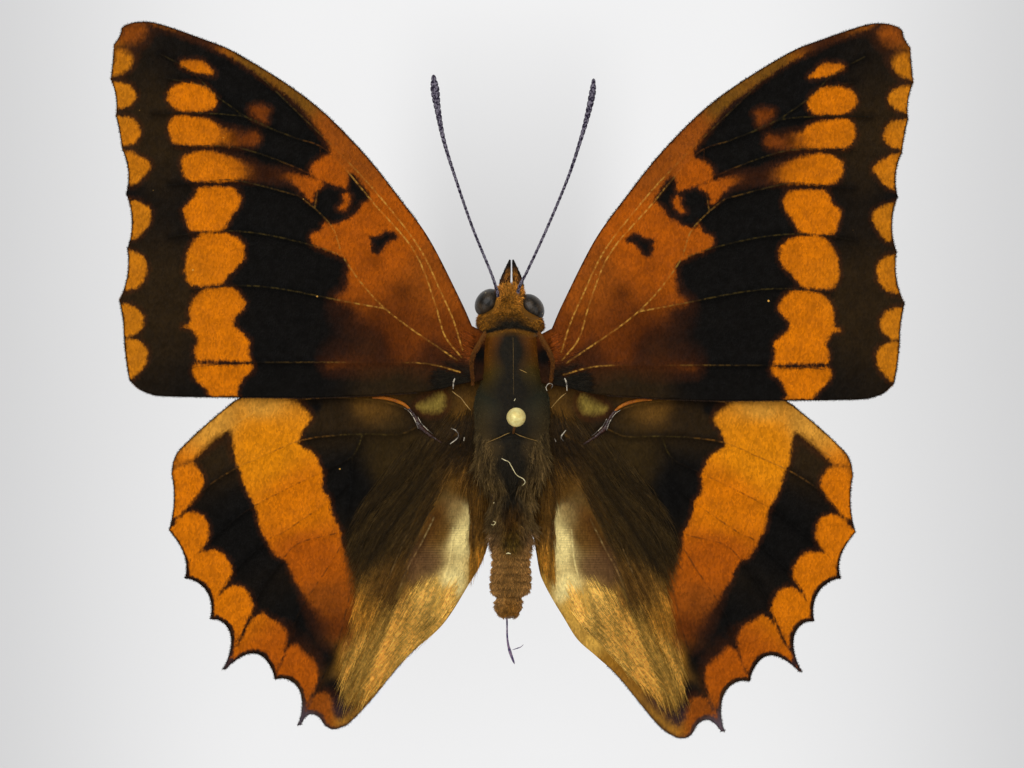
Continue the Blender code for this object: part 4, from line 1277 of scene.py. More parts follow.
class BodySkin:
    """Head, collar, thorax and abdomen as one skin, with furrows, segments and a painted colour."""

    def __init__(self) -> None:
        """Smooths the body's sizes into one path."""
        self.path = smooth_path(BODY, 10)

    def surface(self, u: Array, v: Array) -> Array:
        """Places on the skin.

        Args:
            u: share of the way round, from the right side over the back.
            v: share of the way from the head to the tip.

        Returns:
            (N, 3) places in millimetres.
        """
        ahead_at = np.linspace(self.path[0, 0], self.path[-1, 0], 400)
        order = self.path[::-1]
        ahead = np.interp(v, np.linspace(0, 1, 400), ahead_at)
        half, tall, middle, aside = sampled(order[:, 1:], order[:, 0], ahead).T
        close = np.sqrt(np.clip(1 - (1 - np.clip(np.minimum(v, 1 - v) / 0.012, 0, 1)) ** 2, 0, 1))
        angle = 2 * math.pi * u
        across, up = np.cos(angle), np.sin(angle)
        on_thorax = np.clip(np.minimum(4.6 - ahead, ahead + 10.0), 0, 1)
        power = 2 / (2 + 0.25 * on_thorax)
        x = half * np.sign(across) * np.abs(across) ** power
        z = tall * np.sign(up) * np.abs(up) ** power
        back = np.clip(up, 0, 1) ** 2 * on_thorax
        # Median furrow, the V-shaped suture before the scutellum, and the segments' edges
        z -= 0.14 * back * np.exp(-(x / 0.22) ** 2) * (ahead > -5.0)
        z -= 0.22 * back * np.exp(-((ahead + 5.2 + 0.25 * np.abs(x)) / 0.22) ** 2)
        place = (SEGMENTS_START - ahead) / SEGMENT
        ring = np.where(place > 4, 0.06 * np.exp(-((place - np.round(place)) / 0.2) ** 2), 0.0)
        shrink = close * (1 - ring)
        return np.stack((aside + x * shrink, ahead, middle + z * shrink), axis=1)

    def top(self, x: float, y: float) -> float:
        """The height of the skin's back over a place in plan.

        Args:
            x: millimetres to the right of the middle line.
            y: millimetres ahead of the origin.

        Returns:
            Millimetres over the floor.
        """
        order = self.path[::-1]
        half, tall, middle, aside = (np.interp(y, order[:, 0], order[:, i]) for i in range(1, 5))
        across = min(abs(x - aside) / half, 1.0) ** 2.25
        return float(middle + tall * max(1 - across, 0.0) ** 0.5)

    def tint(self, places: Array) -> Array:
        """Hair colours at places on the skin, paler underneath.

        Args:
            places: (N, 3) places in millimetres.

        Returns:
            (N, 4) linear colours.
        """
        order = self.path[::-1]
        half, _, _, aside = sampled(order[:, 1:], order[:, 0], places[:, 1]).T
        # The hair's borders wander a little
        ahead = places[:, 1] + 0.3 * np.sin(places[:, 0] * 2.1 + 0.7 * places[:, 1]) * (
            np.abs(places[:, 1] - 5) > 1.2)
        # The collar's hind border curves back at the sides
        ahead += 0.1 * places[:, 0] ** 2 * np.exp(-((places[:, 1] - 5) / 0.9) ** 2)
        out = np.abs(places[:, 0] - aside) / half + 0.1 * np.sin(places[:, 1] * 1.7)
        out = np.clip((out - 0.25) / 0.5, 0, 1)[:, None]
        bands = BODY_BANDS[::-1]
        colour = np.zeros((len(places), 4))
        for column, share in ((1, 1 - out), (2, out)):
            tones = np.array([linear(PIGMENTS[band[column]]) for band in bands])
            colour += share * sampled(tones, [band[0] for band in bands], ahead)
        place = (SEGMENTS_START - places[:, 1]) / SEGMENT
        edge = np.where(place > 4, np.exp(-((place - np.round(place)) / 0.2) ** 2), 0.0)
        patchy = 0.6 + 0.4 * np.sin(places[:, 0] * 2.3 + places[:, 1] * 3.0)
        colour = colour * (1 - 0.45 * edge * patchy)[:, None]
        under = np.clip((24.6 - places[:, 2]) / 1.5, 0, 1)[:, None]
        return colour * (1 - under) + np.array(linear("6a563c")) * under

    def build(self) -> Piece:
        """The skin's mesh with its painted colour.

        Returns:
            The object.
        """
        piece = wrapped_grid("body_skin", 96, 520, self.surface)
        points = np.empty(len(piece.data.vertices) * 3)
        piece.data.vertices.foreach_get("co", points)
        colour = self.tint(points.reshape(-1, 3) / MM)
        paint(piece, "tint", colour)
        return piece


def unit(vectors: Array) -> Array:
    """The vectors at length one."""
    return vectors / np.maximum(np.linalg.norm(vectors, axis=1), 1e-9)[:, None]


@dataclass
class HairCoat:
    """Fine closed tufts, three-sided and pointed, joined into one mesh from arrays, since a coat
    of thousands can't be laid one primitive at a time."""
    name: str
    seed: int
    radius: float = 0.04
    curl: float = 0.2
    contrast: float = 0.35

    def build(self, roots: Array, flow: Array, length: Array, tint: Array,
              unwrap: Array) -> Piece:
        """The coat's mesh.

        Args:
            roots: (N, 3) places in millimetres.
            flow: (N, 3) directions.
            length: (N,) lengths in millimetres.
            tint: (N, 4) linear colours.
            unwrap: (N, 2) the roots' places on the skin's unwrap, 0 to 1.

        Returns:
            The object, with its OFBake map.
        """
        random = np.random.default_rng(self.seed)
        count = len(roots)
        flow = unit(flow)
        aside = unit(np.cross(flow, random.normal(size=(count, 3))))
        lift = np.cross(flow, aside)
        bend = random.normal(size=(count, 3)) * self.curl
        length = (length * random.uniform(0.7, 1.25, count))[:, None]
        thick = (self.radius * random.uniform(0.7, 1.2, count))[:, None]
        rings = []
        for share, width in ((-0.06, 0.8), (0.3, 1.0), (0.68, 0.7)):
            middle = roots + flow * length * share + bend * length * share ** 2
            for corner in range(3):
                angle = 2 * math.pi * corner / 3
                spoke = aside * math.cos(angle) + lift * math.sin(angle) * 0.6
                rings.append(middle + spoke * thick * width)
        rings.append(roots + flow * length + bend * length)
        points = np.stack(rings, axis=1).reshape(-1, 3)
        pattern = [(2, 1, 0)]
        for row in (0, 3):
            pattern += [(row + i, row + (i + 1) % 3, row + 3 + (i + 1) % 3, row + 3 + i)
                        for i in range(3)]
        pattern += [(6 + i, 6 + (i + 1) % 3, 9) for i in range(3)]
        faces = [tuple(first + i for i in face) for first in range(0, count * TUFT, TUFT)
                 for face in pattern]
        piece = sheet_object(self.name, points, faces)
        shade = random.uniform(1 - self.contrast, 1 + self.contrast * 1.1, (count, 1))
        colour = np.hstack([tint[:, :3] * shade, np.ones((count, 1))])
        paint(piece, "tint", np.repeat(colour, TUFT, axis=0))
        turn = 2 * math.pi * np.arange(TUFT) / TUFT
        patch = np.stack((np.cos(turn), np.sin(turn)), axis=1) * PATCH
        flat = (unwrap[:, None] * 0.996 + 0.002 + patch[None]).reshape(-1, 2)
        corners = np.empty(len(piece.data.loops), np.int32)
        piece.data.loops.foreach_get("vertex_index", corners)
        layer = piece.data.uv_layers.new(name="OFBake")
        layer.data.foreach_set("uv", flat[corners].astype(np.float32).ravel())
        return piece


@dataclass
class BodyCoat:
    """The hair of one length of the body, laid back along it and shortest on the face."""
    name: str
    front: float
    rear: float
    count: int
    seed: int
    contrast: float = 0.5

    def build(self, skin: BodySkin) -> Piece:
        """The coat, rooted evenly over that length of the skin.

        Args:
            skin: the body.

        Returns:
            The coat.
        """
        random = np.random.default_rng(self.seed)
        span = skin.path[0, 0] - skin.path[-1, 0]
        v = random.uniform((skin.path[0, 0] - self.front) / span,
                           (skin.path[0, 0] - self.rear) / span, self.count)
        u = random.uniform(0, 1, self.count)
        step = 0.002
        roots = skin.surface(u, v)
        along = unit(skin.surface(u, v + step) - roots)
        around = unit(skin.surface(u + step, v) - roots)
        normal = unit(np.cross(around, along))
        away = np.sum(normal * (roots - np.array((0, 0, BODY_LEVEL))) * (1, 0, 1), axis=1)
        normal *= np.sign(away)[:, None]
        x, y = roots[:, 0], roots[:, 1]
        sideways = np.stack((np.sign(x), x * 0, x * 0), axis=1)
        side = np.clip((np.abs(x) - 1.7) / 1.3, 0, 1)
        length = np.interp(-y, [-9.1, -7.5, -6.4, -5.0, -4.6, 4.6, 5.6, 6.6, 9.0, 10, 12, 15, 17, 22.6],
                           [0.36, 0.3, 0.3, 0.26, 0.1, 0.1, 0.12, 0.3, 0.4, 1.3, 1.2, 0.8, 0.3, 0.34])
        # The disc of the thorax is nearly bare, but long hair streams back from its flanks
        length += np.interp(-y, [4.8, 6.2, 9.5, 11], [0, 1.2, 1.3, 0]) * side
        length += 0.5 * np.clip(1 - (roots[:, 2] - 25.0) / 1.5, 0, 1) * (y < 4) * (y > -15)
        lift = np.interp(-y, [-8.7, -6.8, -5.0, 0.0, 6.0, 12, 22], [0.9, 0.45, 0.3, 0.2, 0.2, 0.3, 0.35])
        forward = np.where(y > 8.0, -0.6, 1.0)
        # Hair clings together in locks that bend alike and share a shade
        lock = np.sin(x * 5.3 + 1.7 * np.sin(y * 1.9)) + np.sin(x * 11.7 - y * 2.3 + 1.0)
        sway = (0.2 * np.sin(x * 3.1 + y * 2.2) + 0.14 * lock) * np.clip(-y - 5, 0, 1)
        outward = np.interp(-y, [-7, -6, -4.8, -4, 5, 7, 11, 14],
                            [0.2, 0.8, 0.5, 0.1, 0.1, 0.12, -0.1, 0.1])
        flow = along * forward[:, None] + normal * lift[:, None] + sideways * outward[:, None]
        flow[:, 0] += sway
        flow += random.normal(size=roots.shape) * 0.1
        shade = 1 + np.where(y < -16, 0.08, 0.3) * lock * (y < -5)
        tint = skin.tint(roots) * shade[:, None].clip(0.35, 1.7)
        tint[:, :3] *= np.interp(-y, [-6, -4.6, 5, 7], [1.4, 1.0, 1.0, 1.4])[:, None]
        # The eyes stand free, and on the bare disc and scutellum only some tufts are left
        free = np.ones(len(x), bool)
        for face in FACES.values():
            across, ahead = x - face.eye[0], y - face.eye[1]
            turn = math.radians(face.eye_turn * face.side.value)
            own = (across * math.cos(turn) + ahead * math.sin(turn),
                   ahead * math.cos(turn) - across * math.sin(turn))
            free &= (own[0] / face.eye_radii[0]) ** 2 + (own[1] / face.eye_radii[1]) ** 2 > 0.72
        bare = (y < 4.4) & (y > -9.4) & (np.abs(x) < np.interp(-y, [-4, 5, 6, 9.4], [3, 3, 1.7, 1.3]))
        free &= ~bare | (random.uniform(0, 1, len(x)) < 0.3)
        u, v, roots, flow, length, tint = (part[free] for part in (u, v, roots, flow, length, tint))
        even = self.name == "abdomen_coat"
        coat = HairCoat(self.name, self.seed, 0.03 if even else 0.036, 0.1 if even else 0.2,
                        self.contrast)
        return coat.build(roots, flow, length, tint, np.stack((u, v), axis=1))


@dataclass(frozen=True)
class Fan:
    """Hair on a wing: the ground it covers, in the photograph's pixels, the directions it lies in
    there, as (column, row, right, down), and its lengths and colours."""
    ground: list
    flows: list
    count: int
    shortest: float
    longest: float
    zones: list
    lift: float = 0.05
    radius: float = 0.025
    contrast: float = 0.5
    locks: float = 0.2


HIND_FAN = Fan(
    ground=listed("""
        484,412 466,424 440,430 415,446 385,475 362,505 348,535 354,572 356,596 351,622 345,648
        341,680 347,700 362,700 388,676 418,644 440,622 425,612 402,596 408,560 424,520 440,490
        452,472 470,500 484,520 490,500 492,460"""),
    flows=listed("""
        475,430,-0.2,1.0 445,445,-0.6,0.8 430,480,-0.5,0.85 400,500,-0.65,0.75 365,560,-0.42,0.9
        350,620,-0.3,0.95 400,590,-0.45,0.9 432,628,-0.72,0.7 385,672,-0.64,0.76
        345,690,-0.3,0.95 480,500,-0.1,1.0"""),
    count=12400, shortest=1.8, longest=3.6,
    zones=zones("""
        olive 405 480 3, olive 370 540 2.4, bronze 395 585 2, ochre 360 616 1.6, wheat 372 646 2,
        wheat 404 630 1.8, umber 462 448 1.4, bronze 460 492 1.8, rust 344 632 1.2"""))
GOLD_FAN = Fan(
    ground=listed("""
        428,588 446,592 452,606 440,624 418,646 388,678 362,700 347,698 343,676 350,640 362,612
        380,604 404,600"""),
    flows=listed("""
        440,600,-0.5,0.86 430,625,-0.66,0.75 385,660,-0.6,0.8 352,690,-0.4,0.92
        360,625,-0.35,0.93"""),
    count=5600, shortest=1.5, longest=3.2,
    zones=zones("""
        ochre 360 632 1.8, wheat 402 612 1.6, corn 430 612 1.8, corn 406 644 1.6, wheat 384 672 1.6,
        ochre 364 692 1.6"""), lift=0.02, radius=0.018, contrast=0.4, locks=0.14)
INNER_FAN = Fan(
    ground=listed("470,503 471,530 471.5,560 470,580 476,575 483,560 488,545 490,520 488,503"),
    flows=[(480, 510, 0.02, 1.0), (478, 560, -0.12, 1.0)],
    count=1700, shortest=1.0, longest=2.2,
    zones=zones("bronze 478 520 1.4, ochre 475 572 1.4"), lift=0.03, radius=0.026)
FORE_FAN = Fan(
    ground=listed("470,334 462,336 452,352 440,366 432,380 440,392 456,392 466,384 468,360"),
    flows=[(465, 335, -0.8, -0.5), (450, 365, -1.0, 0.0), (455, 390, -0.9, 0.4)],
    count=2600, shortest=0.6, longest=1.3,
    zones=zones("rust 464 338 2, sable 454 382 2.4"))
# The pixel that the locks stream out from
LOCKS_FROM = (468, 415)
WING_HAIR = [("hind", HIND_FAN, 11), ("gold", GOLD_FAN, 13), ("inner", INNER_FAN, 14),
             ("fore", FORE_FAN, 12)]


@dataclass
class WingHair:
    """The hair that streams over a wing from its root."""
    name: str
    fan: Fan
    seed: int

    def heading(self, places: Array) -> Array:
        """The direction hair lies in at places in the wing's plan.

        Args:
            places: (N, 2) plan places.

        Returns:
            (N, 2) directions of length one.
        """
        total = np.zeros_like(places)
        for column, row, right, down in self.fan.flows:
            gap = np.hypot(*(places - spot(column, row)).T)
            total += np.array((-right, -down)) / (0.05 + gap ** 3)[:, None]
        return unit(total)

    def build(self, wing: Wing) -> Piece:
        """The fan's coat on that wing.

        Args:
            wing: the wing it grows on.

        Returns:
            The coat.
        """
        random = np.random.default_rng(self.seed)
        shape = smooth_path([spot(*p) for p in self.fan.ground], 5, closed=True)
        low, high = shape.min(0), shape.max(0)
        places = random.uniform(low, high, (self.fan.count * 5, 2))
        kept = inside_depth(places, shape) > random.uniform(-0.3, 0.7, len(places))
        kept &= inside_depth(places, wing.edge) > 0.1
        places = places[kept][:self.fan.count]
        length = random.uniform(self.fan.shortest, self.fan.longest, len(places))
        heading = self.heading(places) + random.normal(size=places.shape) * 0.06
        # A tuft's root lies half its length back, so that its colour sits where it is seen
        height = wing.thickness / 2 - wing.pleat / 2
        starts = places - heading * (length / 2)[:, None]
        inside = inside_depth(starts, wing.edge) > 0.05
        starts = np.where(inside[:, None], starts, places)
        roots = wing.space(starts, height)
        flow = unit(wing.space(starts + heading * length[:, None], height) - roots)
        flow[:, 2] += self.fan.lift * random.uniform(0.3, 1.8, len(flow))
        coat = HairCoat(self.name, self.seed, self.fan.radius, 0.05, self.fan.contrast)
        # Locks: streaks that follow the hair out from the root
        spoke = np.arctan2(*(places - spot(*LOCKS_FROM)).T)
        streak = np.sin(spoke * 61) + np.sin(spoke * 137 + 2.0) + np.sin(spoke * 29 + 1.0)
        tint = blend(self.fan.zones, places) * (1 + self.fan.locks * streak)[:, None].clip(0.25, 2.2)
        return coat.build(roots, flow, length, tint,
                          np.clip((starts - low) / (high - low), 0, 1))


@dataclass
class Fringe:
    """Short scales that edge a wing, close together, each pointing out of it."""
    name: str
    seed: int
    spacing: float = 0.07
    length: float = 0.17

    def build(self, wing: Wing) -> Piece:
        """The fringe of that wing's free edge.

        Args:
            wing: the wing it edges.

        Returns:
            The fringe.
        """
        random = np.random.default_rng(self.seed)
        ring = np.vstack([wing.edge, wing.edge[:1]])
        total = length_run(ring)
        at = np.arange(0, total[-1], self.spacing)
        places = sampled(ring, total, at)
        run = sampled(ring, total, at + 0.02) - places
        outward = unit(np.stack((-run[:, 1], run[:, 0]), axis=1))
        free = places[:, 0] > FREE_EDGE
        places, outward = places[free], outward[free]
        outward += random.normal(size=outward.shape) * 0.25
        roots = wing.space(places - outward * 0.04, 0.0)
        flow = wing.space(places + outward * 0.3, 0.0) - wing.space(places, 0.0)
        length = np.full(len(places), self.length)
        banded = (np.sin(at[free] * 2.1) > 0.55) & (places[:, 0] > 34.0)
        tint = np.where(banded[:, None], linear("4a3018"), linear("1d130c"))
        low, high = wing.edge.min(0), wing.edge.max(0)
        return HairCoat(self.name, self.seed, 0.035, 0.1).build(
            roots, flow, length, tint, (places - low) / (high - low))


def tube(name: str, points: list, radii: list, around: int, along: int, rings: int = 0,
         groove: float = 0.0, flat: float = 1.0) -> Piece:
    """A tapering round limb along a smooth path, closed at both ends.

    Args:
        name: the piece's name.
        points: places in millimetres.
        radii: the radius at each.
        around: faces round it.
        along: faces along it.
        rings: how many joints it shows.
        groove: how deep the joints are cut, as a share of the radius.
        flat: its thickness as a share of its width.

    Returns:
        The object.
    """
    path = smooth_path([(*p, r) for p, r in zip(points, radii)], 12)
    run = length_run(path[:, :3])
    end = max(radii[0], radii[-1]) / run[-1]
    run /= run[-1]
    slope = unit(np.gradient(path[:, :3], axis=0))

    def shape(u: Array, v: Array) -> Array:
        """Places on the limb.

        Args:
            u: shares of the way round.
            v: shares of the way from end to end.

        Returns:
            (N, 3) places in millimetres.
        """
        centre = sampled(path[:, :3], run, v)
        heading = unit(sampled(slope, run, v))
        aside = unit(np.cross(heading, (0.05, 0.02, 1.0)))
        lift = np.cross(aside, heading)
        close = np.clip(np.minimum(v, 1 - v) / end, 0, 1)
        radius = np.interp(v, run, path[:, 3]) * np.sqrt(1 - (1 - close) ** 2)
        if rings:
            place = v * rings
            radius = radius * (1 - groove * np.exp(-((place - np.round(place)) / 0.13) ** 2))
        angle = 2 * math.pi * u
        return (centre + aside * (radius * np.cos(angle))[:, None]
                + lift * (radius * np.sin(angle) * flat)[:, None])

    return wrapped_grid(name, around, along, shape)


def egg(name: str, place: tuple, radii: tuple, turn: float, around: int, along: int,
        point: float = 0.0) -> Piece:
    """An egg-shaped piece, turned about the vertical.

    Args:
        name: the piece's name.
        place: its middle in millimetres.
        radii: half its size along each of its own axes.
        turn: degrees.
        around: faces round it.
        along: faces from end to end.
        point: how much narrower its front end is.

    Returns:
        The object.
    """
    angle = math.radians(turn)

    def shape(u: Array, v: Array) -> Array:
        """Places on the egg.

        Args:
            u: shares of the way round.
            v: shares of the way from end to end.

        Returns:
            (N, 3) places in millimetres.
        """
        round_, down = 2 * math.pi * u, math.pi * v
        narrow = 1 - point * np.cos(down)
        x = radii[0] * np.sin(down) * np.cos(round_) * narrow
        y = radii[1] * np.cos(down)
        z = radii[2] * np.sin(down) * np.sin(round_) * narrow
        return np.stack((place[0] + x * math.cos(angle) - y * math.sin(angle),
                         place[1] + x * math.sin(angle) + y * math.cos(angle), place[2] + z), 1)

    return wrapped_grid(name, around, along, shape)


def hair_bed(path: list, radii: tuple, random: np.random.Generator, count: int, span: tuple,
             arc: float, flat: float = 1.0) -> tuple[Array, Array, Array, Array]:
    """Where hair stands on a limb.

    Args:
        path: the limb's places.
        radii: the radius at each.
        random: where the draws come from.
        count: how many hairs.
        span: the shares of the limb's length that it covers.
        arc: how far round it reaches, from the right side over the back.
        flat: the limb's thickness as a share of its width.

    Returns:
        Shares along the limb, angles round it, directions away from it, and roots.
    """
    line = smooth_path([(*p, r) for p, r in zip(path, radii)], 12)
    at = random.uniform(*span, count)
    centre = sampled(line, np.linspace(0, 1, len(line)), at)
    angle = random.uniform(0, arc, count)
    spoke = np.stack((np.cos(angle), at * 0, np.sin(angle) * flat), axis=1)
    return at, angle, spoke, centre[:, :3] + spoke * centre[:, 3:] * HAIR_DEPTH


@dataclass
class Face:
    """One side's eye, feeler and palp."""
    side: Side
    eye: tuple
    feeler: list
    feeler_radii: list
    eye_radii: tuple = (1.15, 1.45, 1.4)
    eye_turn: float = 38.0
    palp: tuple = ((0.66, 8.1, 24.2), (0.63, 9.2, 24.6), (0.47, 10.0, 24.85), (0.29, 10.8, 25.0),
                   (0.13, 11.5, 25.1))
    palp_radii: tuple = (0.54, 0.54, 0.4, 0.22, 0.05)
    palp_tufts: int = 1400

    def build(self, label: str, lens: Material, horn: Material,
              scaled: Material, hair: Material) -> None:
        """Builds and dresses the three pieces.

        Args:
            label: left or right.
            lens: the eye's material.
            horn: the feeler's.
            scaled: the palp's.
            hair: the palp's coat's.
        """
        sign = self.side.value
        ball = egg(f"lens_{label}", self.eye, self.eye_radii, self.eye_turn * sign, 64, 40)
        dress(ball, lens, "eye", f"eye_{label}")
        path = [(sign * x, y, z) for x, y, z in self.feeler]
        shaft = tube(f"feeler_{label}", path, self.feeler_radii, 12, 330, 42, 0.22)
        dress(shaft, horn, "horn", f"antenna_{label}")
        path = [(sign * x - 0.05, y, z) for x, y, z in self.palp]
        snout = tube(f"snout_{label}", path, list(self.palp_radii), 20, 60, 3, 0.1)
        paint(snout, "tint", np.tile(linear("4a2c10"), (len(snout.data.vertices), 1)))
        dress(snout, scaled, "body_hair", f"palp_{label}")
        dress(self.palp_coat(path, f"snout_hair_{label}"), hair, "body_hair")

    def palp_coat(self, path: list, name: str) -> Piece:
        """Short hair along a palp, orange-brown above and black on its outer side and its tip.

        Args:
            path: the palp's places.
            name: the coat's name.

        Returns:
            The coat.
        """
        random = np.random.default_rng(70 + self.side.value)
        at, angle, spoke, roots = hair_bed(path, self.palp_radii, random, self.palp_tufts,
                                           (0.05, 0.97), 2 * math.pi)
        outer = np.cos(angle) * self.side.value
        flow = np.array((-0.3 * self.side.value, 1.0, 0.1)) + spoke * 0.25
        flow += random.normal(size=flow.shape) * 0.1
        # The inner sides are clean, so that a slit shows between the palps
        inner = np.clip(-outer, 0, 1)
        flow[:, 0] += 0.35 * inner * self.side.value
        dark = np.clip(np.maximum(outer * 1.8 - 0.1, (at - 0.4) * 3), 0, 1)[:, None]
        tint = np.array(linear("96601e")) * (1 - dark) + np.array(linear("14100e")) * dark
        return HairCoat(name, 70 + self.side.value, 0.03, 0.12).build(
            roots, flow, np.interp(at, [0, 0.5, 1], [0.4, 0.28, 0.14]) * (1 - 0.5 * inner), tint,
            np.stack((angle / (2 * math.pi), at), axis=1))


FEELER_LEFT = listed("""
    1.2,7.6,25.4 1.5,8.8,26.8 2.1,10.5,27.5 3.74,14.5,28.3 5.3,19.0,28.9 6.45,22.7,29.3
    7.05,25.75,29.3 7.3,27.6,29.2 7.45,29.0,29.0""")
FEELER_RIGHT = listed("""
    0.45,7.6,25.4 0.7,8.9,26.8 1.5,10.5,27.5 3.3,14.4,28.2 5.3,19.2,28.7 6.5,22.8,29.1
    7.2,25.3,29.1 7.63,27.3,29.0 7.75,28.65,28.8""")
FACES = {
    "left": Face(Side.LEFT, (-2.3, 7.42, 24.9), FEELER_LEFT,
                 [0.2, 0.16, 0.14, 0.14, 0.15, 0.2, 0.32, 0.43, 0.16]),
    "right": Face(Side.RIGHT, (1.83, 6.92, 24.9), FEELER_RIGHT,
                  [0.2, 0.16, 0.14, 0.14, 0.15, 0.19, 0.28, 0.33, 0.14]),
}


@dataclass
class Leg:
    """One leg folded under the body: a ringed tube, some with two claws."""
    name: str
    side: Side
    points: list
    radii: list
    claws: bool = True

    def build(self, material: Material) -> None:
        """Builds and dresses the leg.

        Args:
            material: its cuticle.
        """
        sign = self.side.value
        path = [(sign * x, y, z) for x, y, z in self.points]
        shin = tube(f"{self.name}_shin", path, self.radii, 14, 180, 13, 0.12)
        dress(shin, material, "legs", self.name)
        if not self.claws:
            return
        tip, before = np.array(path[-1]), np.array(path[-2])
        heading = (tip - before) / np.linalg.norm(tip - before)
        aside = np.cross(heading, (0, 0, 1))
        for label, hand in (("a", 1), ("b", -1)):
            bow = [tip - heading * 0.1, tip + heading * 0.22 + aside * 0.16 * hand,
                   tip + heading * 0.42 + aside * 0.14 * hand + np.array((0, 0, -0.18))]
            claw = tube(f"{self.name}_claw_{label}", [tuple(p) for p in bow], [0.07, 0.055, 0.02],
                        8, 24)
            dress(claw, material, "legs")


FORELEG = listed("1.3,5.4,23.6 1.7,6.0,21.9 1.9,7.2,21.2 1.5,6.1,20.5 1.3,5.0,20.2")
MIDLEG = listed("""
    1.5,2.4,22.9 1.9,2.6,21.0 3.6,4.4,18.9 3.7,4.2,18.4 3.1,0.0,17.4 2.6,-4.0,16.9 2.5,-4.9,16.6""")
HINDLEG = listed("""
    1.6,-4.6,22.9 2.0,-4.8,21.0 3.9,-3.4,18.9 4.0,-3.8,18.4 3.3,-8.4,17.8 2.9,-12.6,17.6
    2.8,-13.6,17.4""")
TRAILING = listed("""
    1.6,-6.0,22.9 1.9,-6.6,20.9 2.3,-10.6,19.7 2.2,-11.2,19.7 1.2,-16.6,20.4 0.55,-22.0,21.2
    0.45,-24.7,21.3 0.2,-26.0,21.3 -0.26,-27.25,21.1""")
FORE_RADII = [0.32, 0.32, 0.24, 0.22, 0.14]
MID_RADII = [0.42, 0.42, 0.3, 0.26, 0.22, 0.17, 0.13]
TRAIL_RADII = [0.42, 0.42, 0.3, 0.27, 0.22, 0.1, 0.09, 0.15, 0.08]
LEGS = [
    Leg("foreleg_left", Side.LEFT, FORELEG, FORE_RADII, False),
    Leg("foreleg_right", Side.RIGHT, FORELEG, FORE_RADII, False),
    Leg("midleg_left", Side.LEFT, MIDLEG, MID_RADII),
    Leg("midleg_right", Side.RIGHT, MIDLEG, MID_RADII),
    Leg("hindleg_left", Side.LEFT, TRAILING, TRAIL_RADII, False),
    Leg("hindleg_right", Side.RIGHT, HINDLEG, MID_RADII),
]


@dataclass
class Tegula:
    """The narrow flap that lies over a forewing's root, with its own short hair."""
    side: Side
    points: tuple = ((2.5, 4.7, 27.9), (3.0, 3.7, 28.3), (3.75, 2.3, 28.4), (3.82, 1.3, 28.3),
                     (3.7, 0.3, 28.1), (3.72, -0.5, 27.8))
    radii: tuple = (0.14, 0.22, 0.2, 0.14, 0.13, 0.07)
    flat: float = 0.6
    tufts: int = 1100

    def build(self, label: str, skin: Material, hair: Material) -> None:
        """Builds and dresses the flap and its hair.

        Args:
            label: left or right.
            skin: the flap's material.
            hair: the hair's.
        """
        sign = self.side.value
        path = [(sign * x, y, z) for x, y, z in self.points]
        flap = tube(f"root_flap_{label}", path, list(self.radii), 20, 60, flat=self.flat)
        paint(flap, "tint", np.tile(linear("5c360c"), (len(flap.data.vertices), 1)))
        dress(flap, skin, "body_hair", f"tegula_{label}")
        random = np.random.default_rng(40 + sign)
        at, angle, spoke, roots = hair_bed(path, self.radii, random, self.tufts, (0.03, 0.95),
                                           math.pi, self.flat)
        flow = np.array((0.1 * sign, -1.0, 0.2)) + spoke * 0.2
        flow += random.normal(size=flow.shape) * 0.12
        tint = np.tile(linear("4e2c0a"), (self.tufts, 1))
        coat = HairCoat(f"root_flap_hair_{label}", 60 + sign, 0.03, 0.1).build(
            roots, flow, np.full(self.tufts, 0.26), tint, np.stack((angle / math.pi, at), axis=1))
        dress(coat, hair, "body_hair")


@dataclass(frozen=True)
class Strand:
    """A fine raised line along photograph pixels: a seam, a shiny edge of cuticle drawn pale as a
    painted highlight, or a stray fibre. A height over 0 is its own; otherwise it lies that far over the
    body's skin."""
    name: str
    places: list
    radius: float
    height: float = 0.0

    def build(self, skin: BodySkin, material: Material) -> None:
        """Builds and dresses the line.

        Args:
            skin: the body it may lie on.
            material: its finish.
        """
        path = []
        for column, row in self.places:
            x, ahead = (column - MIDDLE_COLUMN) * PIXEL, (ORIGIN_ROW - row) * PIXEL
            path.append((x, ahead, self.height or skin.top(x, ahead) + self.radius * 0.5))
        middle = [self.radius * (1.0, 0.7)[i % 2] for i in range(len(path) - 2)]
        radii = [self.radius * 0.5, *middle, self.radius * 0.4]
        dress(tube(self.name, path, radii, 8, 16 * len(path)), material, "body_hair")


SEAMS = [
    Strand("seam_left", listed("486,443 493,440 500,437 505,434.5 510,432.5"), 0.03),
    Strand("seam_right", listed("515,433 520,435.5 527,438 534,440 541,442"), 0.032),
    Strand("median_line", listed("513,337 513.3,355 513.3,375 513.6,395"), 0.01),
    Strand("neck_fibre", [(519.5, 369.5), (524, 371.5), (529, 374)], 0.04),
    Strand("bristle_left", [(474.5, 403.5), (472.5, 405), (471, 407.5)], 0.07),
    Strand("fold_line_left", listed("452,391 457,395 461,398 466,404.5 471,410.5"), 0.05, 28.0),
    Strand("fold_line_right", listed("566,393 561,397 557,401 551,408"), 0.05, 28.0),
]
FIBRES = [
    Strand("curled_fibre", listed("""
        501.5,458 505,460 509,462 513,469 517,475 523,478.5 525,482 522.5,485.5"""), 0.038, 29.1),
    # A pale fleck painted as a glint on the thorax
    Strand("glint_fleck", [(514, 401), (515.5, 398.5)], 0.06),
    Strand("fleck_b", [(506, 554), (508.5, 553.5), (511, 554.2)], 0.06, 26.4),
    Strand("fleck_c", [(493.4, 503), (494.4, 502.4)], 0.09, 28.2),
    Strand("fleck_d", listed("493,521 495.5,522.5 493.5,525 491,524"), 0.04, 27.4),
]
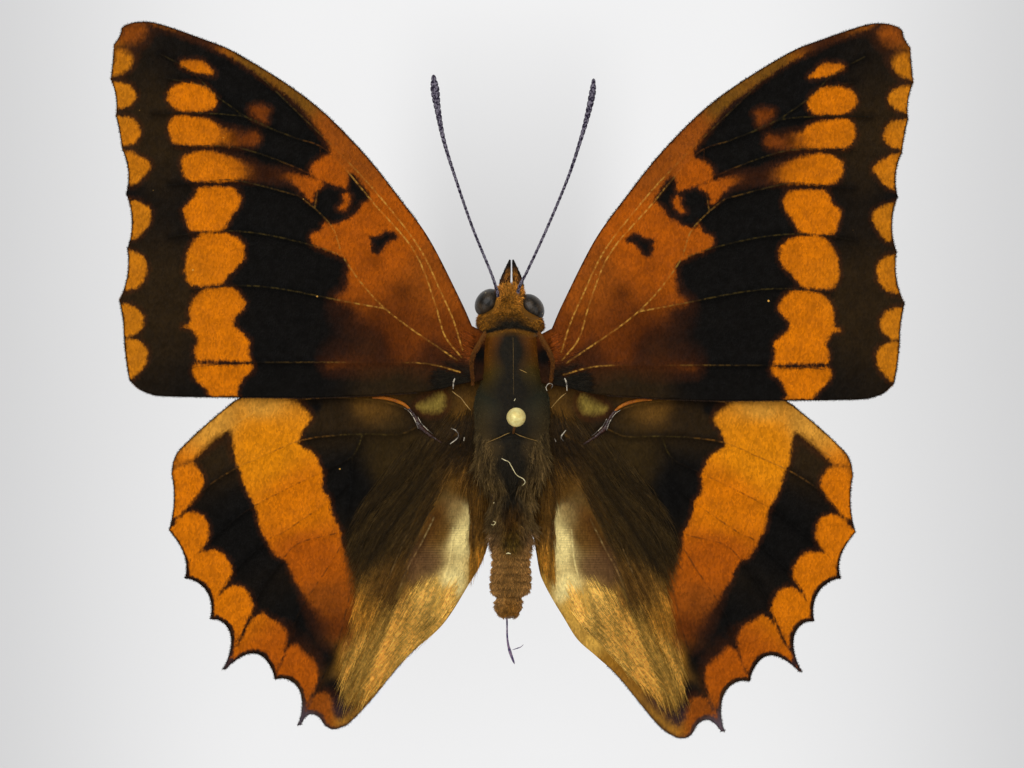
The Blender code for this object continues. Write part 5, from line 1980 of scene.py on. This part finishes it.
FILAMENT_SPUR = Strand("filament_spur", listed("512.4,652.6 518,650.8 521,649.6 523.6,647.2"),
                       0.05, 21.2)
# Pale lines painted as highlights: glints along the shiny edges of the wing roots' cuticle
SHINY = [
    Strand("root_edge_left", [(455, 378), (453.6, 382), (453.2, 389)], 0.08, 28.1),
    Strand("root_edge_right", [(564.5, 378), (566.4, 383), (567, 391)], 0.08, 28.1),
    Strand("hinge_left", listed("451,428 456,430.5 458.6,435 457,438.5 450,444"), 0.065, 28.1),
    Strand("hinge_right", listed("566,430 562,435 561.2,438 563.5,441"), 0.065, 28.1),
    Strand("hinge_knob_left", [(464.4, 437), (463.8, 441)], 0.08, 28.1),
    Strand("hinge_knob_right", [(554.4, 438), (556, 442)], 0.07, 28.1),
    Strand("hinge_ring", listed("547,391 546,387 549,383.5 552.5,385 551,389"), 0.05, 28.2),
]
# Lines that stand up at the hindwing's root: their finish, and (column, row, radius) along each
ROOT_LINES = [
    ("vein_gold", listed("""
        372,397.8,0.08 384,398,0.15 395,400.5,0.17 404,404.5,0.15 411,410.5,0.09""")),
    ("hinge_cuticle", listed("""
        405,405.5,0.06 411,411,0.14 416,418.5,0.17 419,425.5,0.26 424,430.5,0.19 431,436,0.14
        442,443,0.07""")),
    # Pale lines painted as highlights along the hinge's edges
    ("hinge_glint", listed("404,408,0.02 409.5,412,0.03 414.5,419.5,0.04 418,428.5,0.03")),
    ("hinge_glint", listed("417.5,416.5,0.02 421,423,0.04 426,428.5,0.03 432.5,434,0.02")),
]


@dataclass
class Pin:
    """The insect pin: a thin shaft with a round head, leaning forward a little."""
    entry: tuple = (0.14, -4.9, 29.0)
    lean: tuple = (-8.3, 1.4)
    depth: float = 27.3
    above: float = 11.1
    radius: float = 0.11
    head: float = 0.9
    point: float = 1.6

    def build(self) -> Piece:
        """The shaft and head as one turned form.

        Returns:
            The object.
        """
        profile = [(0.02, -self.depth), (self.radius, self.point - self.depth),
                   (self.radius, self.above - 1.95 * self.head)]
        profile += [(self.head * math.cos(a), self.above - self.head * (1 - math.sin(a)))
                    for a in np.linspace(-1.34, math.pi / 2 - 0.001, 40)]
        line = np.array(profile)
        gaps = np.hypot(*np.diff(line, axis=0).T)
        run = np.concatenate([[0], np.cumsum(gaps ** 0.5)])
        run /= run[-1]
        tip, roll = math.radians(self.lean[0]), math.radians(self.lean[1])

        def shape(u: Array, v: Array) -> Array:
            """Places on the pin.

            Args:
                u: shares of the way round.
                v: shares of the way from end to end.

            Returns:
                (N, 3) places in millimetres.
            """
            radius, along = np.interp(v, run, line[:, 0]), np.interp(v, run, line[:, 1])
            x, y = radius * np.cos(2 * math.pi * u), radius * np.sin(2 * math.pi * u)
            y, z = (y * math.cos(tip) - along * math.sin(tip),
                    y * math.sin(tip) + along * math.cos(tip))
            x, z = x * math.cos(roll) + z * math.sin(roll), -x * math.sin(roll) + z * math.cos(roll)
            return np.stack((self.entry[0] + x, self.entry[1] + y, self.entry[2] + z), axis=1)

        return wrapped_grid("insect_pin", 40, 300, shape)


@dataclass
class Studio:
    """The white card, the soft lights and the camera straight above."""
    floor_size: float = 0.9
    camera_height: float = 0.6275
    lens: float = 222.04
    middle: float = -0.00033

    def build(self) -> None:
        """Builds the stage."""
        deselect()
        bpy.ops.mesh.primitive_grid_add(x_subdivisions=8, y_subdivisions=8, size=self.floor_size)
        floor = bpy.context.object
        floor.name = "card"
        floor.data.materials.append(Card().material())
        self.light("soft_top", (-0.12, 0.2, 0.5), 0.5, 2.1)
        self.light("soft_side", (0.35, -0.05, 0.35), 0.4, 0.62)
        self.light("soft_low", (-0.3, -0.3, 0.3), 0.35, 0.42)
        world = bpy.data.worlds.new("soft_room")
        world.use_nodes = True
        world.node_tree.nodes["Background"].inputs[0].default_value = linear("f4f4f6")
        world.node_tree.nodes["Background"].inputs[1].default_value = 0.3
        bpy.context.scene.world = world
        # The photograph is plain sRGB, without a film-like curve
        bpy.context.scene.view_settings.view_transform = "Standard"
        camera = bpy.data.cameras.new("camera")
        camera.lens = self.lens
        camera.sensor_width = 36.0
        camera.clip_start = 0.01
        camera.clip_end = 5.0
        holder = bpy.data.objects.new("camera", camera)
        holder.location = (0.0, self.middle, self.camera_height)
        bpy.context.scene.collection.objects.link(holder)
        bpy.context.scene.camera = holder

    def light(self, name: str, place: tuple, size: float, power: float) -> None:
        """Adds a large area light that faces the specimen.

        Args:
            name: the light's name.
            place: where it hangs, in metres.
            size: its width in metres.
            power: watts.
        """
        lamp = bpy.data.lights.new(name, "AREA")
        lamp.size = size
        lamp.energy = power
        holder = bpy.data.objects.new(name, lamp)
        holder.location = place
        holder.rotation_euler = (Vector((0, 0, 0.025)) - Vector(place)).to_track_quat(
            "-Z", "Y").to_euler()
        bpy.context.scene.collection.objects.link(holder)


def build_wings() -> dict[str, Wing]:
    """Builds the four wings with their fringes.

    Returns:
        The wings by name.
    """
    upper, lower = WingScales("wing_scales").material(), WingScales(
        "wing_underside", rim="b8aa98", roughness=0.7).material()
    fringe = Hair("fringe_scales").material()
    hind_left = outline(HIND_COSTA, HIND_ENDS, HIND_TRAIL, HIND_ROOT)
    hind_right = outline(HIND_COSTA, HIND_ENDS_RIGHT, HIND_TRAIL_RIGHT, HIND_ROOT)
    wings = {
        "forewing_left": Wing(
            "forewing_left_sheet", Side.LEFT, outline(FORE_COSTA, FORE_ENDS, FORE_TRAIL, FORE_ROOT),
            FORE_VEINS, 27.0, FORE_PATTERN, FORE_UNDER),
        "forewing_right": Wing(
            "forewing_right_sheet", Side.RIGHT,
            outline(FORE_COSTA, FORE_ENDS, FORE_TRAIL, FORE_ROOT, 0.25), FORE_VEINS, 27.0,
            FORE_PATTERN, FORE_UNDER, slide=(-0.03, -0.25), turn=-0.1),
        "hindwing_left": Wing(
            "hindwing_left_sheet", Side.LEFT, hind_left, HIND_VEINS, 25.8, HIND_PATTERN, HIND_UNDER,
            inner_edge=HIND_TRAIL),
        "hindwing_right": Wing(
            "hindwing_right_sheet", Side.RIGHT, hind_right, HIND_VEINS, 25.8, HIND_PATTERN,
            HIND_UNDER, slide=(0.05, -0.2), inner_edge=HIND_TRAIL_RIGHT, pattern_edge=hind_left),
    }
    for seed, (node, wing) in enumerate(wings.items()):
        piece = wing.build()
        dress(piece, upper, "wing", node)
        piece.data.materials.append(lower)
        dress(Fringe(f"{node}_fringe", 80 + seed).build(wing), fringe, "wing")
    return wings


def main() -> None:
    """Builds the specimen piece by piece, then the stage."""
    logging.basicConfig(level=logging.INFO, format="%(name)s %(message)s")
    wings = build_wings()
    hair = Hair("body_hair").material()
    for label in ("left", "right"):
        for name, fan, seed in WING_HAIR:
            wing = wings[f"{'fore' if fan is FORE_FAN else 'hind'}wing_{label}"]
            dress(WingHair(f"{name}_hair_{label}", fan, seed).build(wing), hair, "body_hair")
    skin = BodySkin()
    hide = Cuticle("body_cuticle", "2a1c10", "4a3c24", 0.14, 0.06, 0.5, glint_share=0.03,
                   painted=True).material()
    dress(skin.build(), hide, "body_hair", "head", "prothorax", "thorax", "abdomen")
    for coat in (BodyCoat("head_coat", 9.1, 4.8, 7500, 21, 0.75),
                 BodyCoat("front_coat", 4.8, -2.0, 9000, 22),
                 BodyCoat("rear_coat", -2.0, -10.4, 12000, 23),
                 BodyCoat("abdomen_coat", -10.4, -22.6, 12000, 24, 0.35)):
        dress(coat.build(skin), hair, "body_hair")
    lens = CompoundEye().material()
    horn = Cuticle("feeler_horn", "1d1528", "b0a8b6", 0.1, 0.4, 0.5).material()
    shiny = Cuticle("hinge_cuticle", "26120c", "4c2416", 0.3, 0.3, 0.2, 0.4).material()
    # Pale cuticle for the painted highlights on the hinges' edges
    painted_glint_edge = Cuticle("hinge_glint", "4a4238", "c4b8a0", 0.3, 0.9, 0.25, 0.5).material()
    thread = Cuticle("pale_fibre", "d8c890", "f0e6c0", 0.2, 0.5, 0.4, 0.3).material()
    seam = Cuticle("seam_gold", "8a6a34", "b89450", 0.2, 0.5, 0.4, 0.3).material()
    for strands, material in ((SEAMS, seam), (FIBRES, thread), (SHINY, painted_glint_edge)):
        for strand in strands:
            strand.build(skin, material)
    finishes = {"vein_gold": Cuticle("vein_gold", "a8600e", "7a3c0c", 0.3, 0.5, 0.35, 0.2).material(),
                "hinge_cuticle": shiny, "hinge_glint": painted_glint_edge}
    for label in ("left", "right"):
        wing = wings[f"hindwing_{label}"]
        for number, (finish, line) in enumerate(ROOT_LINES):
            places = wing.space(np.array([spot(x, y) for x, y, _ in line]), 0.1)
            places[:, 2] += 0.14 * (finish == "hinge_glint")
            raised = tube(f"root_line_{number}_{label}", [tuple(p) for p in places],
                          [radius for *_, radius in line], 12, 120, flat=0.8)
            dress(raised, finishes[finish], "wing")
    for label, face in FACES.items():
        face.build(label, lens, horn, hide, hair)
        Tegula(face.side).build(label, hide, hair)
    legs = Cuticle("leg_cuticle", "40345a", "a890a0", 0.15, 0.5).material()
    FILAMENT_SPUR.build(skin, legs)
    for leg in LEGS:
        leg.build(legs)
    dress(Pin().build(), BrassedSteel().material(), "pin", "pin")
    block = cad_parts["stand_base"]
    wood = PaintedWood().material()
    for slot in block.material_slots:
        slot.material = wood
    Studio().build()


if __name__ == "__main__":
    main()
